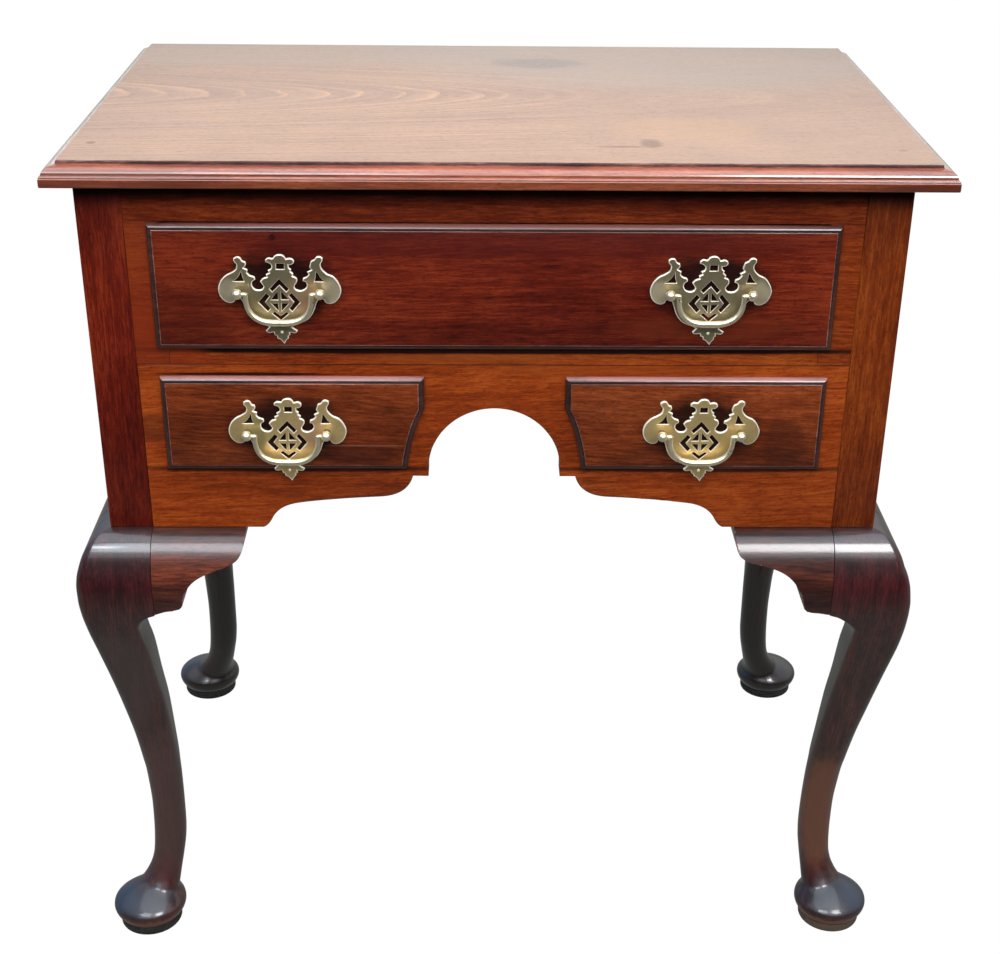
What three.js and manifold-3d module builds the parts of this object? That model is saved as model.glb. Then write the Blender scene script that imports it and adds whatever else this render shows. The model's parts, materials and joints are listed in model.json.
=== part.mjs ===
// Mahogany lowboy: one long drawer over two short ones, on four cabriole legs.
// Millimetres, +Z up, the front faces -Y, and the origin is on the floor under the middle.
import * as THREE from 'three';
import { mergeVertices } from 'three/addons/utils/BufferGeometryUtils.js';
import Module from 'manifold-3d';

const wasm = await Module();
wasm.setup();

// Driving dimensions
const height = 729;
const gap = 0.3; // the fit between neighbouring pieces

const top = { width: 683, thickness: 18.5, frontOverhang: 25, backOverhang: 5 };
const topShift = 4.2; // the board was fixed a little to the right
const caseWidth = 637;
const caseDepth = 385;
const caseBottom = 415;
const postSize = 35;
const frameThickness = 20;
const sideThickness = 16;
const backThickness = 12;
const backInset = 2;
const backBottom = 428;

const footCentre = 1.8; // outwards from the case's faces, both ways
const kneeBottom = 345; // where the knee blocks end

const longDrawer = { halfWidth: 255.5, bottom: 585.2, top: 676.4 };
const longOpening = { halfWidth: 257, bottom: 584, top: 678.2 };
const longLip = { halfWidth: 266, bottom: 575.5, top: 677.4 };
const jambBottom = 561.3;
const shortDrawer = { inner: 81.5, outer: 255.5, bottom: 480.7, top: 539.8 };
const shortOpening = { inner: 80, outer: 257, bottom: 479.5, top: 541 };
const shortLip = { inner: 56.5, outer: 266, bottom: 470.5, top: 551.5, shoulder: 523.6, foot: 71 };
const lipThickness = 6.3;
const lipStand = 0.4; // the lip's back to the case's front
const frontThickness = 19;
const thumbWidth = 4.8;
const thumbDepth = 3.8;
const drawerLength = 345;
const liningThickness = 11;
const bottomThickness = 7;
const bottomRise = 5;
const grooveDepth = 4;
const drawerBackDrop = 6; // the sides and back stand lower than the front

const archRadius = 53.8;
const archCentre = 469.5;
const archFoot = 462.5;

const handle = { fromCentre: 166.5, longHeight: 626, shortHeight: 506.3, boring: 63.5 };
const plateThickness = 1.8;
const plateLift = 2; // the plate's middle above its posts
const ballRadius = 4.2;
const ballStand = 8.5; // the ball's centre to the plate's face
const shankRadius = 2.6;
const holeClearance = 0.5;
const pinRadius = 1.5;
const pinHoleRadius = 1.95;
const socketBottom = 0.9; // from the ball's centre
const bailDrop = 23.3;

// Places worked out from them
const halfWidth = caseWidth / 2;
const frontPlane = -caseDepth / 2;
const backPlane = caseDepth / 2;
const topUnderside = height - top.thickness;
const postInside = halfWidth - postSize;
const frameBack = frontPlane + frameThickness;
const backBoardFront = backPlane - backInset - backThickness;
const sideInside = halfWidth - sideThickness;
const lipBack = frontPlane - lipStand;
const lipFace = lipBack - lipThickness;
const drawerFrontBack = lipFace + frontThickness;
const plateFace = lipFace - gap - plateThickness;
const ballY = plateFace - ballStand;

// Finishes
const finishes = {
  topWood: { color: 0xa0705a, roughness: 0.35, metalness: 0 },
  frontWood: { color: 0x7c3a17, roughness: 0.3, metalness: 0 },
  postWood: { color: 0x6d2415, roughness: 0.3, metalness: 0 },
  drawerWood: { color: 0x57200f, roughness: 0.3, metalness: 0 },
  legWood: { color: 0x2e1512, roughness: 0.22, metalness: 0 },
  lining: { color: 0xa9814e, roughness: 0.75, metalness: 0 },
  brass: { color: 0xcdb56b, roughness: 0.25, metalness: 1 },
};

const lowboy = new THREE.Group();

function add(name, geometry, finish) {
  const mesh = new THREE.Mesh(geometry, new THREE.MeshStandardMaterial(finishes[finish]));
  mesh.name = name;
  lowboy.add(mesh);
}

// Solids
function merged(geometry) {
  const bare = geometry.clone();
  bare.deleteAttribute('normal');
  bare.deleteAttribute('uv');
  return mergeVertices(bare, 1e-4);
}

function toManifold(geometry) {
  const closed = merged(geometry);
  return new wasm.Manifold(new wasm.Mesh({
    numProp: 3,
    vertProperties: new Float32Array(closed.attributes.position.array),
    triVerts: new Uint32Array(closed.index.array),
  }));
}

function fromManifold(solid) {
  const mesh = solid.getMesh();
  const geometry = new THREE.BufferGeometry();
  geometry.setAttribute('position', new THREE.BufferAttribute(mesh.vertProperties, 3));
  geometry.setIndex(new THREE.BufferAttribute(mesh.triVerts, 1));
  return geometry;
}

function cutBy(geometry, tools) {
  const solid = tools.reduce((rest, tool) => rest.subtract(toManifold(tool)), toManifold(geometry));
  return fromManifold(solid);
}

function joined(geometries) {
  const [first, ...others] = geometries.map(toManifold);
  return fromManifold(others.reduce((whole, other) => whole.add(other), first));
}

function common(a, b) {
  return fromManifold(toManifold(a).intersect(toManifold(b)));
}

// A board between two corners
function board(x0, x1, y0, y1, z0, z1) {
  const geometry = new THREE.BoxGeometry(x1 - x0, y1 - y0, z1 - z0);
  return geometry.translate((x0 + x1) / 2, (y0 + y1) / 2, (z0 + z1) / 2);
}

// An outline drawn in (x, z), given its thickness from y0 back to y1
function sawnInFront(shape, y0, y1) {
  const geometry = new THREE.ExtrudeGeometry(shape, {
    depth: y1 - y0, bevelEnabled: false, curveSegments: 8,
  });
  return geometry.rotateX(Math.PI / 2).translate(0, y1, 0);
}

// An outline drawn in (y, z), run from x0 to x1
function runAcross(shape, x0, x1) {
  const geometry = new THREE.ExtrudeGeometry(shape, {
    depth: x1 - x0, bevelEnabled: false, curveSegments: 8,
  });
  const turn = new THREE.Matrix4().makeBasis(
    new THREE.Vector3(0, 1, 0), new THREE.Vector3(0, 0, 1), new THREE.Vector3(1, 0, 0));
  return geometry.applyMatrix4(turn).translate(x0, 0, 0);
}

// A closed outline that turns anticlockwise, whichever way its points run
function polygon(points) {
  const corners = points.map(([x, y]) => new THREE.Vector2(x, y));
  return new THREE.Shape(THREE.ShapeUtils.isClockWise(corners) ? corners.reverse() : corners);
}

// The geometry under a matrix, with its faces kept outwards where the matrix mirrors it
function placed(geometry, matrix) {
  const result = merged(geometry).applyMatrix4(matrix);
  if (matrix.determinant() < 0) {
    const index = result.index.array;
    for (let i = 0; i < index.length; i += 3) {
      [index[i + 1], index[i + 2]] = [index[i + 2], index[i + 1]];
    }
  }
  return result;
}

function mirroredX(geometry) {
  return placed(geometry, new THREE.Matrix4().makeScale(-1, 1, 1));
}

// Skins over rings of points that all have one count, with flat caps at both ends.
// The rings run upwards or forwards, and turn anticlockwise seen from the last one.
function loft(rings, flatten) {
  const count = rings[0].length;
  const positions = rings.flat().flatMap((point) => [point.x, point.y, point.z]);
  const index = [];
  for (let row = 0; row + 1 < rings.length; row += 1) {
    for (let i = 0; i < count; i += 1) {
      const next = (i + 1) % count;
      const [a, b] = [row * count + i, row * count + next];
      index.push(a, b, b + count, a, b + count, a + count);
    }
  }
  const capFaces = (ring) => {
    const flat = ring.map(flatten);
    const faces = THREE.ShapeUtils.triangulateShape(flat, []);
    return THREE.ShapeUtils.isClockWise(flat) ? faces.map((face) => face.toReversed()) : faces;
  };
  const last = (rings.length - 1) * count;
  capFaces(rings[0]).forEach(([a, b, c]) => index.push(a, c, b));
  capFaces(rings.at(-1)).forEach(([a, b, c]) => index.push(last + a, last + b, last + c));
  const geometry = new THREE.BufferGeometry();
  geometry.setAttribute('position', new THREE.Float32BufferAttribute(positions, 3));
  geometry.setIndex(index);
  return geometry;
}

// A smooth value at a height, from rows of [height, value] that run downwards
function smoothColumn(rows) {
  const heights = rows.map((row) => row[0]);
  const slope = (i) => {
    if (i === 0 || i === rows.length - 1) return 0;
    const before = (rows[i][1] - rows[i - 1][1]) / (heights[i] - heights[i - 1]);
    const after = (rows[i + 1][1] - rows[i][1]) / (heights[i + 1] - heights[i]);
    return before * after <= 0 ? 0 : (2 * before * after) / (before + after);
  };
  return (z) => {
    if (z >= heights[0]) return rows[0][1];
    if (z <= heights.at(-1)) return rows.at(-1)[1];
    const i = heights.findIndex((h) => h <= z) - 1;
    const span = heights[i + 1] - heights[i];
    const t = (z - heights[i]) / span;
    return (2 * t ** 3 - 3 * t ** 2 + 1) * rows[i][1]
      + (t ** 3 - 2 * t ** 2 + t) * span * slope(i)
      + (3 * t ** 2 - 2 * t ** 3) * rows[i + 1][1]
      + (t ** 3 - t ** 2) * span * slope(i + 1);
  };
}

// An outline moved inwards by a distance, each corner along its mitre
function insetOutline(points, distance) {
  const count = points.length;
  return points.map((point, i) => {
    const before = new THREE.Vector2().subVectors(point, points[(i + count - 1) % count]).normalize();
    const after = new THREE.Vector2().subVectors(points[(i + 1) % count], point).normalize();
    const normal = new THREE.Vector2(-before.y - after.y, before.x + after.x).normalize();
    const mitre = distance / (normal.x * -before.y + normal.y * before.x);
    return new THREE.Vector2(point.x + normal.x * mitre, point.y + normal.y * mitre);
  });
}

// The top: a board whose moulded edge turns the two front corners and dies at the square back
function buildTop() {
  const profile = [
    // In from the edge, and up from the underside: band, bead, quirk, ovolo and fillet
    [1.2, 0], [0.3, 0.5], [0, 1.4], [0, 6.4], [0.6, 7], [0.4, 7.8], [1, 8.6], [1.9, 8.9],
    [2.2, 10.6], [3.4, 12.6], [5.6, 14.2], [8.4, 15], [11, 15.3], [11.4, 15.9], [11.6, 17.4],
    [12.6, top.thickness],
  ];
  const half = top.width / 2;
  const front = frontPlane - top.frontOverhang;
  const back = backPlane + top.backOverhang;
  const rings = profile.map(([inset, rise]) => {
    const z = topUnderside + rise;
    return [
      new THREE.Vector3(topShift - half + inset, front + inset, z),
      new THREE.Vector3(topShift + half - inset, front + inset, z),
      new THREE.Vector3(topShift + half - inset, back, z),
      new THREE.Vector3(topShift - half + inset, back, z),
    ];
  });
  add('top', loft(rings, (point) => new THREE.Vector2(point.x, point.y)), 'topWood');
}

// The knee's outer face, outwards from the case's face, at each height
const kneeRows = [
  [caseBottom, 0.2], [413.5, 6], [411, 10.8], [407, 15.4], [402, 19.3], [396, 22.6], [388, 25.5],
  [379, 27.9], [368, 29], [357, 28.9], [kneeBottom, 27.9],
];
const outerFace = smoothColumn([
  ...kneeRows, [328, 25.2], [300, 19.3], [266, 12.3], [235, 6.7], [200, 1.1], [168, -2.4],
  [145, -4.1], [119, -5.2], [95, -4.8], [78, -4], [64, -2.2], [54, 1.9], [44, 7.5], [34, 15],
  [26, 19], [18, 20],
]);
const innerFace = smoothColumn([
  [kneeBottom, -postSize], [344, -31.5], [341, -27.4], [335, -22.2], [328, -19.6], [318, -20.4],
  [300, -23.8], [266, -27.2], [235, -30.5], [200, -32.6], [168, -34.2], [145, -34.6], [119, -34.5],
  [95, -34.2], [78, -33.4], [64, -31.8], [54, -30.4], [44, -28.4], [34, -26.5], [26, -24.5],
  [18, -21.5],
]);
// How far each corner is rounded, down to the ankle, where the leg turns fully round
const fullyRound = 30;
const outerRound = smoothColumn([
  [caseBottom, 0.6], [404, 5], [388, 8], [kneeBottom, 8.5], [300, 9], [235, 11], [168, 14],
  [145, fullyRound],
]);
const sideRound = smoothColumn([
  [caseBottom, 0.6], [kneeBottom, 0.8], [341, 3.5], [328, 5.5], [300, 7.5], [235, 11], [168, 14],
  [145, fullyRound],
]);
const innerRound = smoothColumn([
  [caseBottom, 0.6], [kneeBottom, 0.8], [341, 5], [328, 10], [300, 12], [235, 13], [168, 15],
  [145, fullyRound],
]);
// How much further out to the side a leg stands than it does to the front, as the four were sawn
// by eye. The inner face takes it up below the knee block.
function swept(rows) {
  const outer = smoothColumn(rows);
  const turn = 20;
  const share = (z) => THREE.MathUtils.clamp((kneeBottom - z) / turn, 0, 1);
  return { outer, inner: (z) => outer(z) * share(z) };
}

const frontLeftSweep = swept([[caseBottom, 0], [0, 0]]);
const frontRightSweep = swept([
  [388, 0], [368, 3.1], [355, 5], [339, 6.8], [325, 8.4], [300, 10.2], [268, 10.2], [235, 9.6],
  [200, 8.2], [168, 6.6], [145, 5.4], [119, 4.2], [80, 3], [60, 2.2], [34, 1], [18, 0.4],
  [0, 0],
]);
const rearSweep = swept([[kneeBottom, 0], [300, -1.6], [260, -2.2], [100, -2.2], [60, -1.5], [24, 0]]);

// One level of the leg at the case's left front corner: a square with rounded corners.
// Both coordinates are measured outwards from the case's faces.
function legRing(z, sweep) {
  const arris = 0.6;
  const isPost = z > caseBottom;
  const [outer, inner] = isPost ? [0, -postSize] : [outerFace(z), innerFace(z)];
  const rounds = isPost ? [arris, arris, arris] : [outerRound(z), sideRound(z), innerRound(z)];
  const [far, near] = [outer + sweep.outer(z), inner + sweep.inner(z)];
  const corners = [
    { x: far, y: outer, round: rounds[0], from: 0 },
    { x: near, y: outer, round: rounds[1], from: 90 },
    { x: near, y: inner, round: rounds[2], from: 180 },
    { x: far, y: inner, round: rounds[1], from: 270 },
  ];
  const cornerSteps = 3;
  const widest = Math.min(far - near, outer - inner) / 2 - 0.01;
  return corners.flatMap(({ x, y, round, from }) => {
    const radius = Math.min(round, widest);
    const centreX = x === far ? x - radius : x + radius;
    const centreY = y === outer ? y - radius : y + radius;
    return Array.from({ length: cornerSteps + 1 }, (_, step) => {
      const angle = THREE.MathUtils.degToRad(from + (90 * step) / cornerSteps);
      return new THREE.Vector3(
        -halfWidth - centreX - radius * Math.cos(angle),
        frontPlane - centreY - radius * Math.sin(angle), z);
    });
  });
}

// The turned foot: a disc under a flattened ball
function turnedFoot(sweep) {
  const discRadius = 28;
  const outline = [
    [0, 0], [discRadius - 0.8, 0], [discRadius, 1], [discRadius, 8.4], [30.2, 10.4],
    [32.4, 14], [33.2, 18], [32.4, 22.6], [30, 27], [26, 30.6], [20.5, 33.6], [13, 36], [0, 38],
  ];
  const segments = 20;
  const geometry = new THREE.LatheGeometry(
    outline.map(([radius, z]) => new THREE.Vector2(radius, z)), segments);
  return geometry.rotateX(Math.PI / 2)
    .translate(-halfWidth - footCentre - sweep.outer(0), frontPlane - footCentre, 0);
}

// The leg at the case's left front corner: post, knee, cabriole and foot in one piece of wood
function legGeometry(sweep) {
  const levels = [
    topUnderside - gap, caseBottom + 0.2, caseBottom, 413.5, 411, 407, 402, 396, 388, 379, 368, 357,
    kneeBottom, 344, 341, 335, 328, 318, 300, 275, 245, 215, 185, 155, 125, 100, 80, 66, 54, 44,
    34, 26, 18,
  ];
  const rings = levels.reverse().map((z) => legRing(z, sweep));
  const shaft = loft(rings, (point) => new THREE.Vector2(point.x, point.y));
  return joined([shaft, turnedFoot(sweep)]);
}

function buildLegs() {
  const backwards = new THREE.Matrix4().makeScale(1, -1, 1);
  const rear = placed(legGeometry(rearSweep), backwards);
  add('front_left_leg', legGeometry(frontLeftSweep), 'legWood');
  add('front_right_leg', mirroredX(legGeometry(frontRightSweep)), 'legWood');
  add('rear_left_leg', rear, 'legWood');
  add('rear_right_leg', mirroredX(rear), 'legWood');
}

// The knee brackets' sawn edges, from the leg along the heel and the hollow to the tip:
// [from the case's middle, height], as they stand on the front. The right one is a little longer.
const leftEdge = [
  [283.2, 346.2], [277, 348.4], [268.5, 350], [263, 351.6], [260, 354.4], [258.8, 359], [257.6, 364],
  [254.6, 371], [250.4, 376.4], [245, 380.6], [238.6, 384], [228, 388], [218, 391.6], [212, 396],
  [208.2, 402.4], [206.6, 408.4], [206, caseBottom - gap],
];
const rightEdge = [
  [283.2, 345.8], [274, 347.2], [265.4, 348.6], [261.6, 351.4], [259.8, 356.4], [258, 363],
  [254.4, 372], [250.6, 377.4], [246, 382], [240, 385.8], [233, 388.6], [223, 391.3], [210, 394.9],
  [204.6, 398.8], [202, 404.6], [201, caseBottom - gap],
];

// A knee bracket beside the left front leg: a sawn edge in front view, with the knee's face
function kneeBracket(edge, sweep) {
  const foot = kneeBottom - 6;
  const inside = -edge[0][0];
  const tip = -edge.at(-1)[0];
  const outline = polygon([[inside, caseBottom - gap], ...edge.map(([fromMiddle, z]) => [-fromMiddle, z])]);
  const face = (z) => frontPlane - outerFace(z) - sweep.outer(z);
  const section = polygon([
    [frameBack, foot], [frameBack, caseBottom - gap],
    ...kneeRows.map(([z]) => [face(z), z - gap]), [face(foot), foot],
  ]);
  const forward = 60;
  return common(
    sawnInFront(outline, frontPlane - forward, frameBack),
    runAcross(section, inside - 5, tip + 5));
}

function buildBrackets() {
  // Across the corner's diagonal, a front bracket becomes a side one
  const acrossCorner = new THREE.Matrix4().set(
    0, 1, 0, -halfWidth - frontPlane,
    1, 0, 0, frontPlane + halfWidth,
    0, 0, 1, 0,
    0, 0, 0, 1);
  const backwards = new THREE.Matrix4().makeScale(1, -1, 1);
  const front = kneeBracket(leftEdge, frontLeftSweep);
  const side = placed(front, acrossCorner);
  const sweptSide = placed(kneeBracket(leftEdge, frontRightSweep), acrossCorner);
  add('front_left_bracket', front, 'legWood');
  add('front_right_bracket', mirroredX(kneeBracket(rightEdge, frontLeftSweep)), 'legWood');
  add('front_left_side_bracket', side, 'legWood');
  add('front_right_side_bracket', mirroredX(sweptSide), 'legWood');
  add('rear_left_side_bracket', placed(side, backwards), 'legWood');
  add('rear_right_side_bracket', placed(mirroredX(side), backwards), 'legWood');
}

// The apron: the arch, the stepped cove and the cyma that ends at the knee bracket
function apronOutline() {
  const end = postInside - gap;
  const right = new THREE.Path();
  const below = Math.asin((archCentre - archFoot) / archRadius);
  right.absarc(0, archCentre, archRadius, Math.PI / 2, -below, true);
  right.lineTo(66.6, archFoot);
  right.quadraticCurveTo(71.2, 444, 95, 443.2);
  right.quadraticCurveTo(130, 441.6, 160, 437.8);
  right.quadraticCurveTo(178, 435.6, 184, 423);
  right.quadraticCurveTo(187.2, 416.6, 191.5, caseBottom);
  right.lineTo(end, caseBottom);
  right.lineTo(end, jambBottom - gap);
  const half = right.getPoints(7);
  const mirrored = half.slice(1).reverse().map((point) => new THREE.Vector2(-point.x, point.y));
  return new THREE.Shape([...mirrored, ...half]);
}

function buildFrame() {
  const end = postInside - gap;
  const opening = (side) => {
    const [near, far] = [side * shortOpening.inner, side * shortOpening.outer];
    return board(Math.min(near, far), Math.max(near, far), frontPlane - 5, frameBack + 5,
      shortOpening.bottom, shortOpening.top);
  };
  const apron = sawnInFront(apronOutline(), frontPlane, frameBack);
  add('front_apron', cutBy(apron, [opening(-1), opening(1)]), 'frontWood');
  add('front_top_rail', board(-end, end, frontPlane, frameBack, longOpening.top, topUnderside - gap),
    'frontWood');
  const bladeEnd = longOpening.halfWidth - gap;
  add('drawer_blade', board(-bladeEnd, bladeEnd, frontPlane, frameBack, jambBottom, longOpening.bottom),
    'frontWood');
  const jamb = board(-end, -longOpening.halfWidth, frontPlane, frameBack, jambBottom,
    longOpening.top - gap);
  add('left_jamb', jamb, 'frontWood');
  add('right_jamb', mirroredX(jamb), 'frontWood');
}

function buildCase() {
  const panelEnd = caseDepth / 2 - postSize - gap;
  const side = board(-halfWidth + 0.5, -sideInside, -panelEnd, panelEnd, caseBottom, topUnderside - gap);
  add('left_side_panel', side, 'postWood');
  add('right_side_panel', mirroredX(side), 'postWood');
  const backEnd = postInside - gap;
  add('back_panel', board(-backEnd, backEnd, backBoardFront, backPlane - backInset, backBottom,
    topUnderside - gap), 'lining');
}

// A runner with the guide strip that stands beside the drawer, both lying between front and back
function runner(side, { rest, inner, outer, guide, foot, guideTop }) {
  const profile = polygon([
    [inner, foot], [outer, foot], [outer, guideTop], [guide, guideTop], [guide, rest], [inner, rest],
  ]);
  const shape = side > 0 ? profile : polygon(profile.getPoints().map((p) => [-p.x, p.y]));
  return sawnInFront(shape, frameBack + gap, backBoardFront - gap);
}

function buildRunners() {
  const clear = 1.2; // the guide to the drawer's side
  const long = {
    rest: longDrawer.bottom - gap, inner: 242, outer: postInside - gap,
    guide: longDrawer.halfWidth + clear, foot: 570, guideTop: 602,
  };
  const outer = {
    rest: shortDrawer.bottom - gap, inner: 242, outer: postInside - gap,
    guide: shortDrawer.outer + clear, foot: 466, guideTop: 496,
  };
  for (const [name, side] of [['left', -1], ['right', 1]]) {
    add(`long_drawer_${name}_runner`, runner(side, long), 'lining');
    add(`${name}_drawer_outer_runner`, runner(side, outer), 'lining');
    add(`${name}_drawer_inner_runner`, runner(side, {
      rest: outer.rest, inner: 96, outer: 74, guide: shortDrawer.inner - clear,
      foot: outer.foot, guideTop: outer.guideTop,
    }), 'lining');
  }
}

function buildGlueBlocks() {
  const [leg, length, fromMiddle] = [26, 64, 82];
  const under = topUnderside - gap;
  const inside = -sideInside + gap;
  for (const [name, y] of [['front', -fromMiddle], ['rear', fromMiddle]]) {
    const block = sawnInFront(polygon([[inside, under], [inside, under - leg], [inside + leg, under]]),
      y - length / 2, y + length / 2);
    add(`${name}_left_glue_block`, block, 'lining');
    add(`${name}_right_glue_block`, mirroredX(block), 'lining');
  }
}

// A drawer front: the moulded lip stands on the case, and the body behind it fills the opening
function drawerFront(lipOutline, body, handles) {
  const fillet = { width: 0.6, height: 0.9 }; // the step up to the flat
  const start = lipThickness - thumbDepth - fillet.height;
  const rounded = [0, 30, 60, 90].map((degrees) => {
    const turn = THREE.MathUtils.degToRad(degrees);
    return [(thumbWidth - fillet.width) * (1 - Math.cos(turn)), start + thumbDepth * Math.sin(turn)];
  });
  const steps = [[0, 0], ...rounded, [thumbWidth, lipThickness]];
  const rings = steps.map(([inset, forward]) => insetOutline(lipOutline, inset)
    .map((point) => new THREE.Vector3(point.x, lipBack - forward, point.y)));
  const lip = loft(rings, (point) => new THREE.Vector2(point.x, point.z));
  const behind = board(body.left, body.right, lipBack - 1, drawerFrontBack, body.bottom, body.top);
  const holes = handles.flatMap(({ x, z }) => [-1, 1].map((end) => new THREE.CylinderGeometry(
    shankRadius + holeClearance, shankRadius + holeClearance, 60, 12)
    .translate(x + (end * handle.boring) / 2, lipFace + 15, z)));
  return cutBy(joined([lip, behind]), holes);
}

// The lining: two grooved sides, a back between them and the bottom in the grooves
function addLining(name, body) {
  const start = drawerFrontBack + gap;
  const end = start + drawerLength;
  const rim = body.top - drawerBackDrop;
  const grooveLow = body.bottom + bottomRise - gap;
  const grooveHigh = body.bottom + bottomRise + bottomThickness + gap;
  const left = body.left;
  const inside = left + liningThickness;
  const sideShape = polygon([
    [left, body.bottom], [inside, body.bottom], [inside, grooveLow], [inside - grooveDepth, grooveLow],
    [inside - grooveDepth, grooveHigh], [inside, grooveHigh], [inside, rim], [left, rim],
  ]);
  const side = sawnInFront(sideShape, start, end);
  add(`${name}_left_side`, side, 'lining');
  const centre = (body.left + body.right) / 2;
  const across = new THREE.Matrix4().makeTranslation(2 * centre, 0, 0)
    .multiply(new THREE.Matrix4().makeScale(-1, 1, 1));
  add(`${name}_right_side`, placed(side, across), 'lining');
  add(`${name}_back`, board(inside + gap, body.right - liningThickness - gap, end - liningThickness, end,
    grooveHigh, rim), 'lining');
  const tongue = grooveDepth - gap;
  add(`${name}_bottom`, board(inside - tongue, body.right - liningThickness + tongue, start, end,
    body.bottom + bottomRise, body.bottom + bottomRise + bottomThickness), 'lining');
}

function buildLongDrawer() {
  const { halfWidth: half, bottom, top: rim } = longLip;
  const outline = [[-half, bottom], [half, bottom], [half, rim], [-half, rim]]
    .map(([x, z]) => new THREE.Vector2(x, z));
  const body = {
    left: -longDrawer.halfWidth, right: longDrawer.halfWidth,
    bottom: longDrawer.bottom, top: longDrawer.top,
  };
  const handles = [-1, 1].map((side) => ({ x: side * handle.fromCentre, z: handle.longHeight }));
  add('long_drawer_front', drawerFront(outline, body, handles), 'drawerWood');
  addLining('long_drawer', body);
}

// The right short drawer's lip follows the arch with a shoulder and a hollow
function shortLipOutline() {
  const { inner, outer, bottom, top: rim, shoulder, foot } = shortLip;
  const hollow = new THREE.QuadraticBezierCurve(
    new THREE.Vector2(inner, shoulder), new THREE.Vector2(66.6, 506), new THREE.Vector2(foot, bottom));
  return [
    new THREE.Vector2(outer, bottom), new THREE.Vector2(outer, rim), new THREE.Vector2(inner, rim),
    ...hollow.getPoints(7),
  ];
}

function buildShortDrawers() {
  const right = shortLipOutline();
  const left = right.map((point) => new THREE.Vector2(-point.x, point.y)).reverse();
  const { inner, outer, bottom, top: rim } = shortDrawer;
  const bodies = {
    left: { left: -outer, right: -inner, bottom, top: rim },
    right: { left: inner, right: outer, bottom, top: rim },
  };
  for (const [name, outline, side] of [['left', left, -1], ['right', right, 1]]) {
    const handles = [{ x: side * handle.fromCentre, z: handle.shortHeight }];
    add(`${name}_drawer_front`, drawerFront(outline, bodies[name], handles), 'drawerWood');
    addLining(`${name}_drawer`, bodies[name]);
  }
}

// The batwing plate, drawn about its middle: each half from the crest down to the finial.
// The halves differ a little, as the pattern was cut by hand.
const plateRight = [
  [1.5, 27], [4.4, 26.1], [6.3, 23.5], [9.6, 24], [11.8, 22.8], [12.3, 20.8], [10.6, 19],
  [8, 18.6], [8.2, 16.4], [9.9, 15], [9.3, 13.4], [11.3, 11.6], [10.6, 9.8], [13.6, 8],
  [14, 5.4], [11.7, 1], [12.8, -1], [16.2, -2], [19.6, -0.8], [21.2, 1.8], [20.4, 4.9],
  [18.3, 5.8], [18.6, 8], [21.4, 9.2], [23.2, 11.2], [21.9, 13], [25.4, 14.8], [24, 16.8],
  [24.4, 19.4], [25.4, 21.8], [28, 23.2], [29.4, 25], [32, 25.6],
  [34.2, 24.2], [34, 22], [32.5, 19.4], [33.2, 15.8], [37, 11.8], [41.6, 9.6], [45.4, 5],
  [47.5, -0.8], [46.4, -6.4], [43, -11.1], [38.4, -12.8], [35.2, -11.7], [33.6, -9.3],
  [30.2, -9.4], [28.4, -11.8], [26.6, -17], [23.6, -22.8], [18.4, -27.4], [10.4, -30.2],
  [8.4, -32.2], [12.6, -35.1], [11.2, -36.8], [6.3, -36.6], [6.6, -38.6], [5.2, -39.6],
  [5.2, -41.2], [3.8, -42.6],
];
const plateLeft = [
  [-2.2, 25.9], [-4, 23.9], [-7.2, 24.3], [-9.6, 22.7], [-9.4, 20.9], [-6.8, 20.1], [-5.2, 18.2],
  [-5.4, 15.9], [-8, 14.3], [-7, 12.3], [-9.7, 10.9], [-9, 8.9], [-12.4, 7.6], [-14.4, 5.2],
  [-11.9, 1.3], [-13, -0.8], [-16, -1.7], [-19.2, -0.6], [-20.8, 2], [-20.4, 5], [-18.2, 6.6],
  [-18.6, 8.8], [-22, 10.2], [-24, 12.2], [-23.4, 14.6], [-26.4, 16.2], [-24.5, 18.6],
  [-24.9, 21], [-27, 21.8], [-28.6, 24.3], [-31, 25.1], [-33.8, 23.6], [-33.6, 21.5],
  [-31.8, 19], [-32.4, 15.2], [-35.6, 12.7], [-40.6, 10], [-44.6, 5.8], [-46.8, 0],
  [-46, -6.2], [-42.8, -10.6], [-38.4, -12.3], [-35.3, -11.3], [-33.8, -8.6], [-31.2, -8.5],
  [-29.3, -10.3], [-27.6, -15.2], [-25, -21.8], [-20, -27.3], [-12.6, -30.4], [-9.3, -32],
  [-12.2, -35.1], [-11, -36.6], [-6, -36.4], [-5.4, -38.6], [-3.6, -39.4], [-3.4, -41.2],
  [-1.2, -42.4], [1.8, -46],
];
const crestSlot = [[-1.6, 15.2], [4.6, 15.2], [4.6, 19.7], [-1.6, 19.7]];
const wingHoles = [
  [[-28.3, 14.2], [-27.9, 9], [-26.6, 5.2], [-35.8, 5.2], [-32.4, 7.4], [-30, 10.4]],
  [[28.8, 13.4], [28.2, 9], [27.4, 5.3], [35, 5.3], [32.4, 8], [30.4, 11.4]],
];
const chevrons = [
  [[0.2, 7.4], [-7.6, -0.8], [-5.5, -3.1], [0.2, 2.6], [5.2, -3.1], [7.4, -0.8]],
  [[-16.6, -11.6], [-10.4, -4.2], [-7.9, -6.7], [-11.6, -11.6], [-7.5, -16.8], [-9.8, -19.2]],
  [[15.6, -11.4], [9.2, -3.9], [7, -6.3], [11, -11.4], [7, -16.9], [9.2, -19]],
  [[-6.5, -20.8], [-4.4, -19.4], [0, -23], [4.6, -19.6], [6.4, -20.8], [0, -26.4]],
];
const quarters = [
  [[-1.4, -2.4], [-7, -9.6], [-1.4, -9.6]], [[1.1, -2.6], [6.8, -9.4], [1.1, -9.4]],
  [[-1.4, -12.6], [-6.8, -12.6], [-1.4, -18.8]], [[1.1, -12.5], [6.8, -12.5], [1.1, -18.8]],
];
const pinHole = { x: 0.3, z: -36.2, radius: 1.1 };

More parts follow.
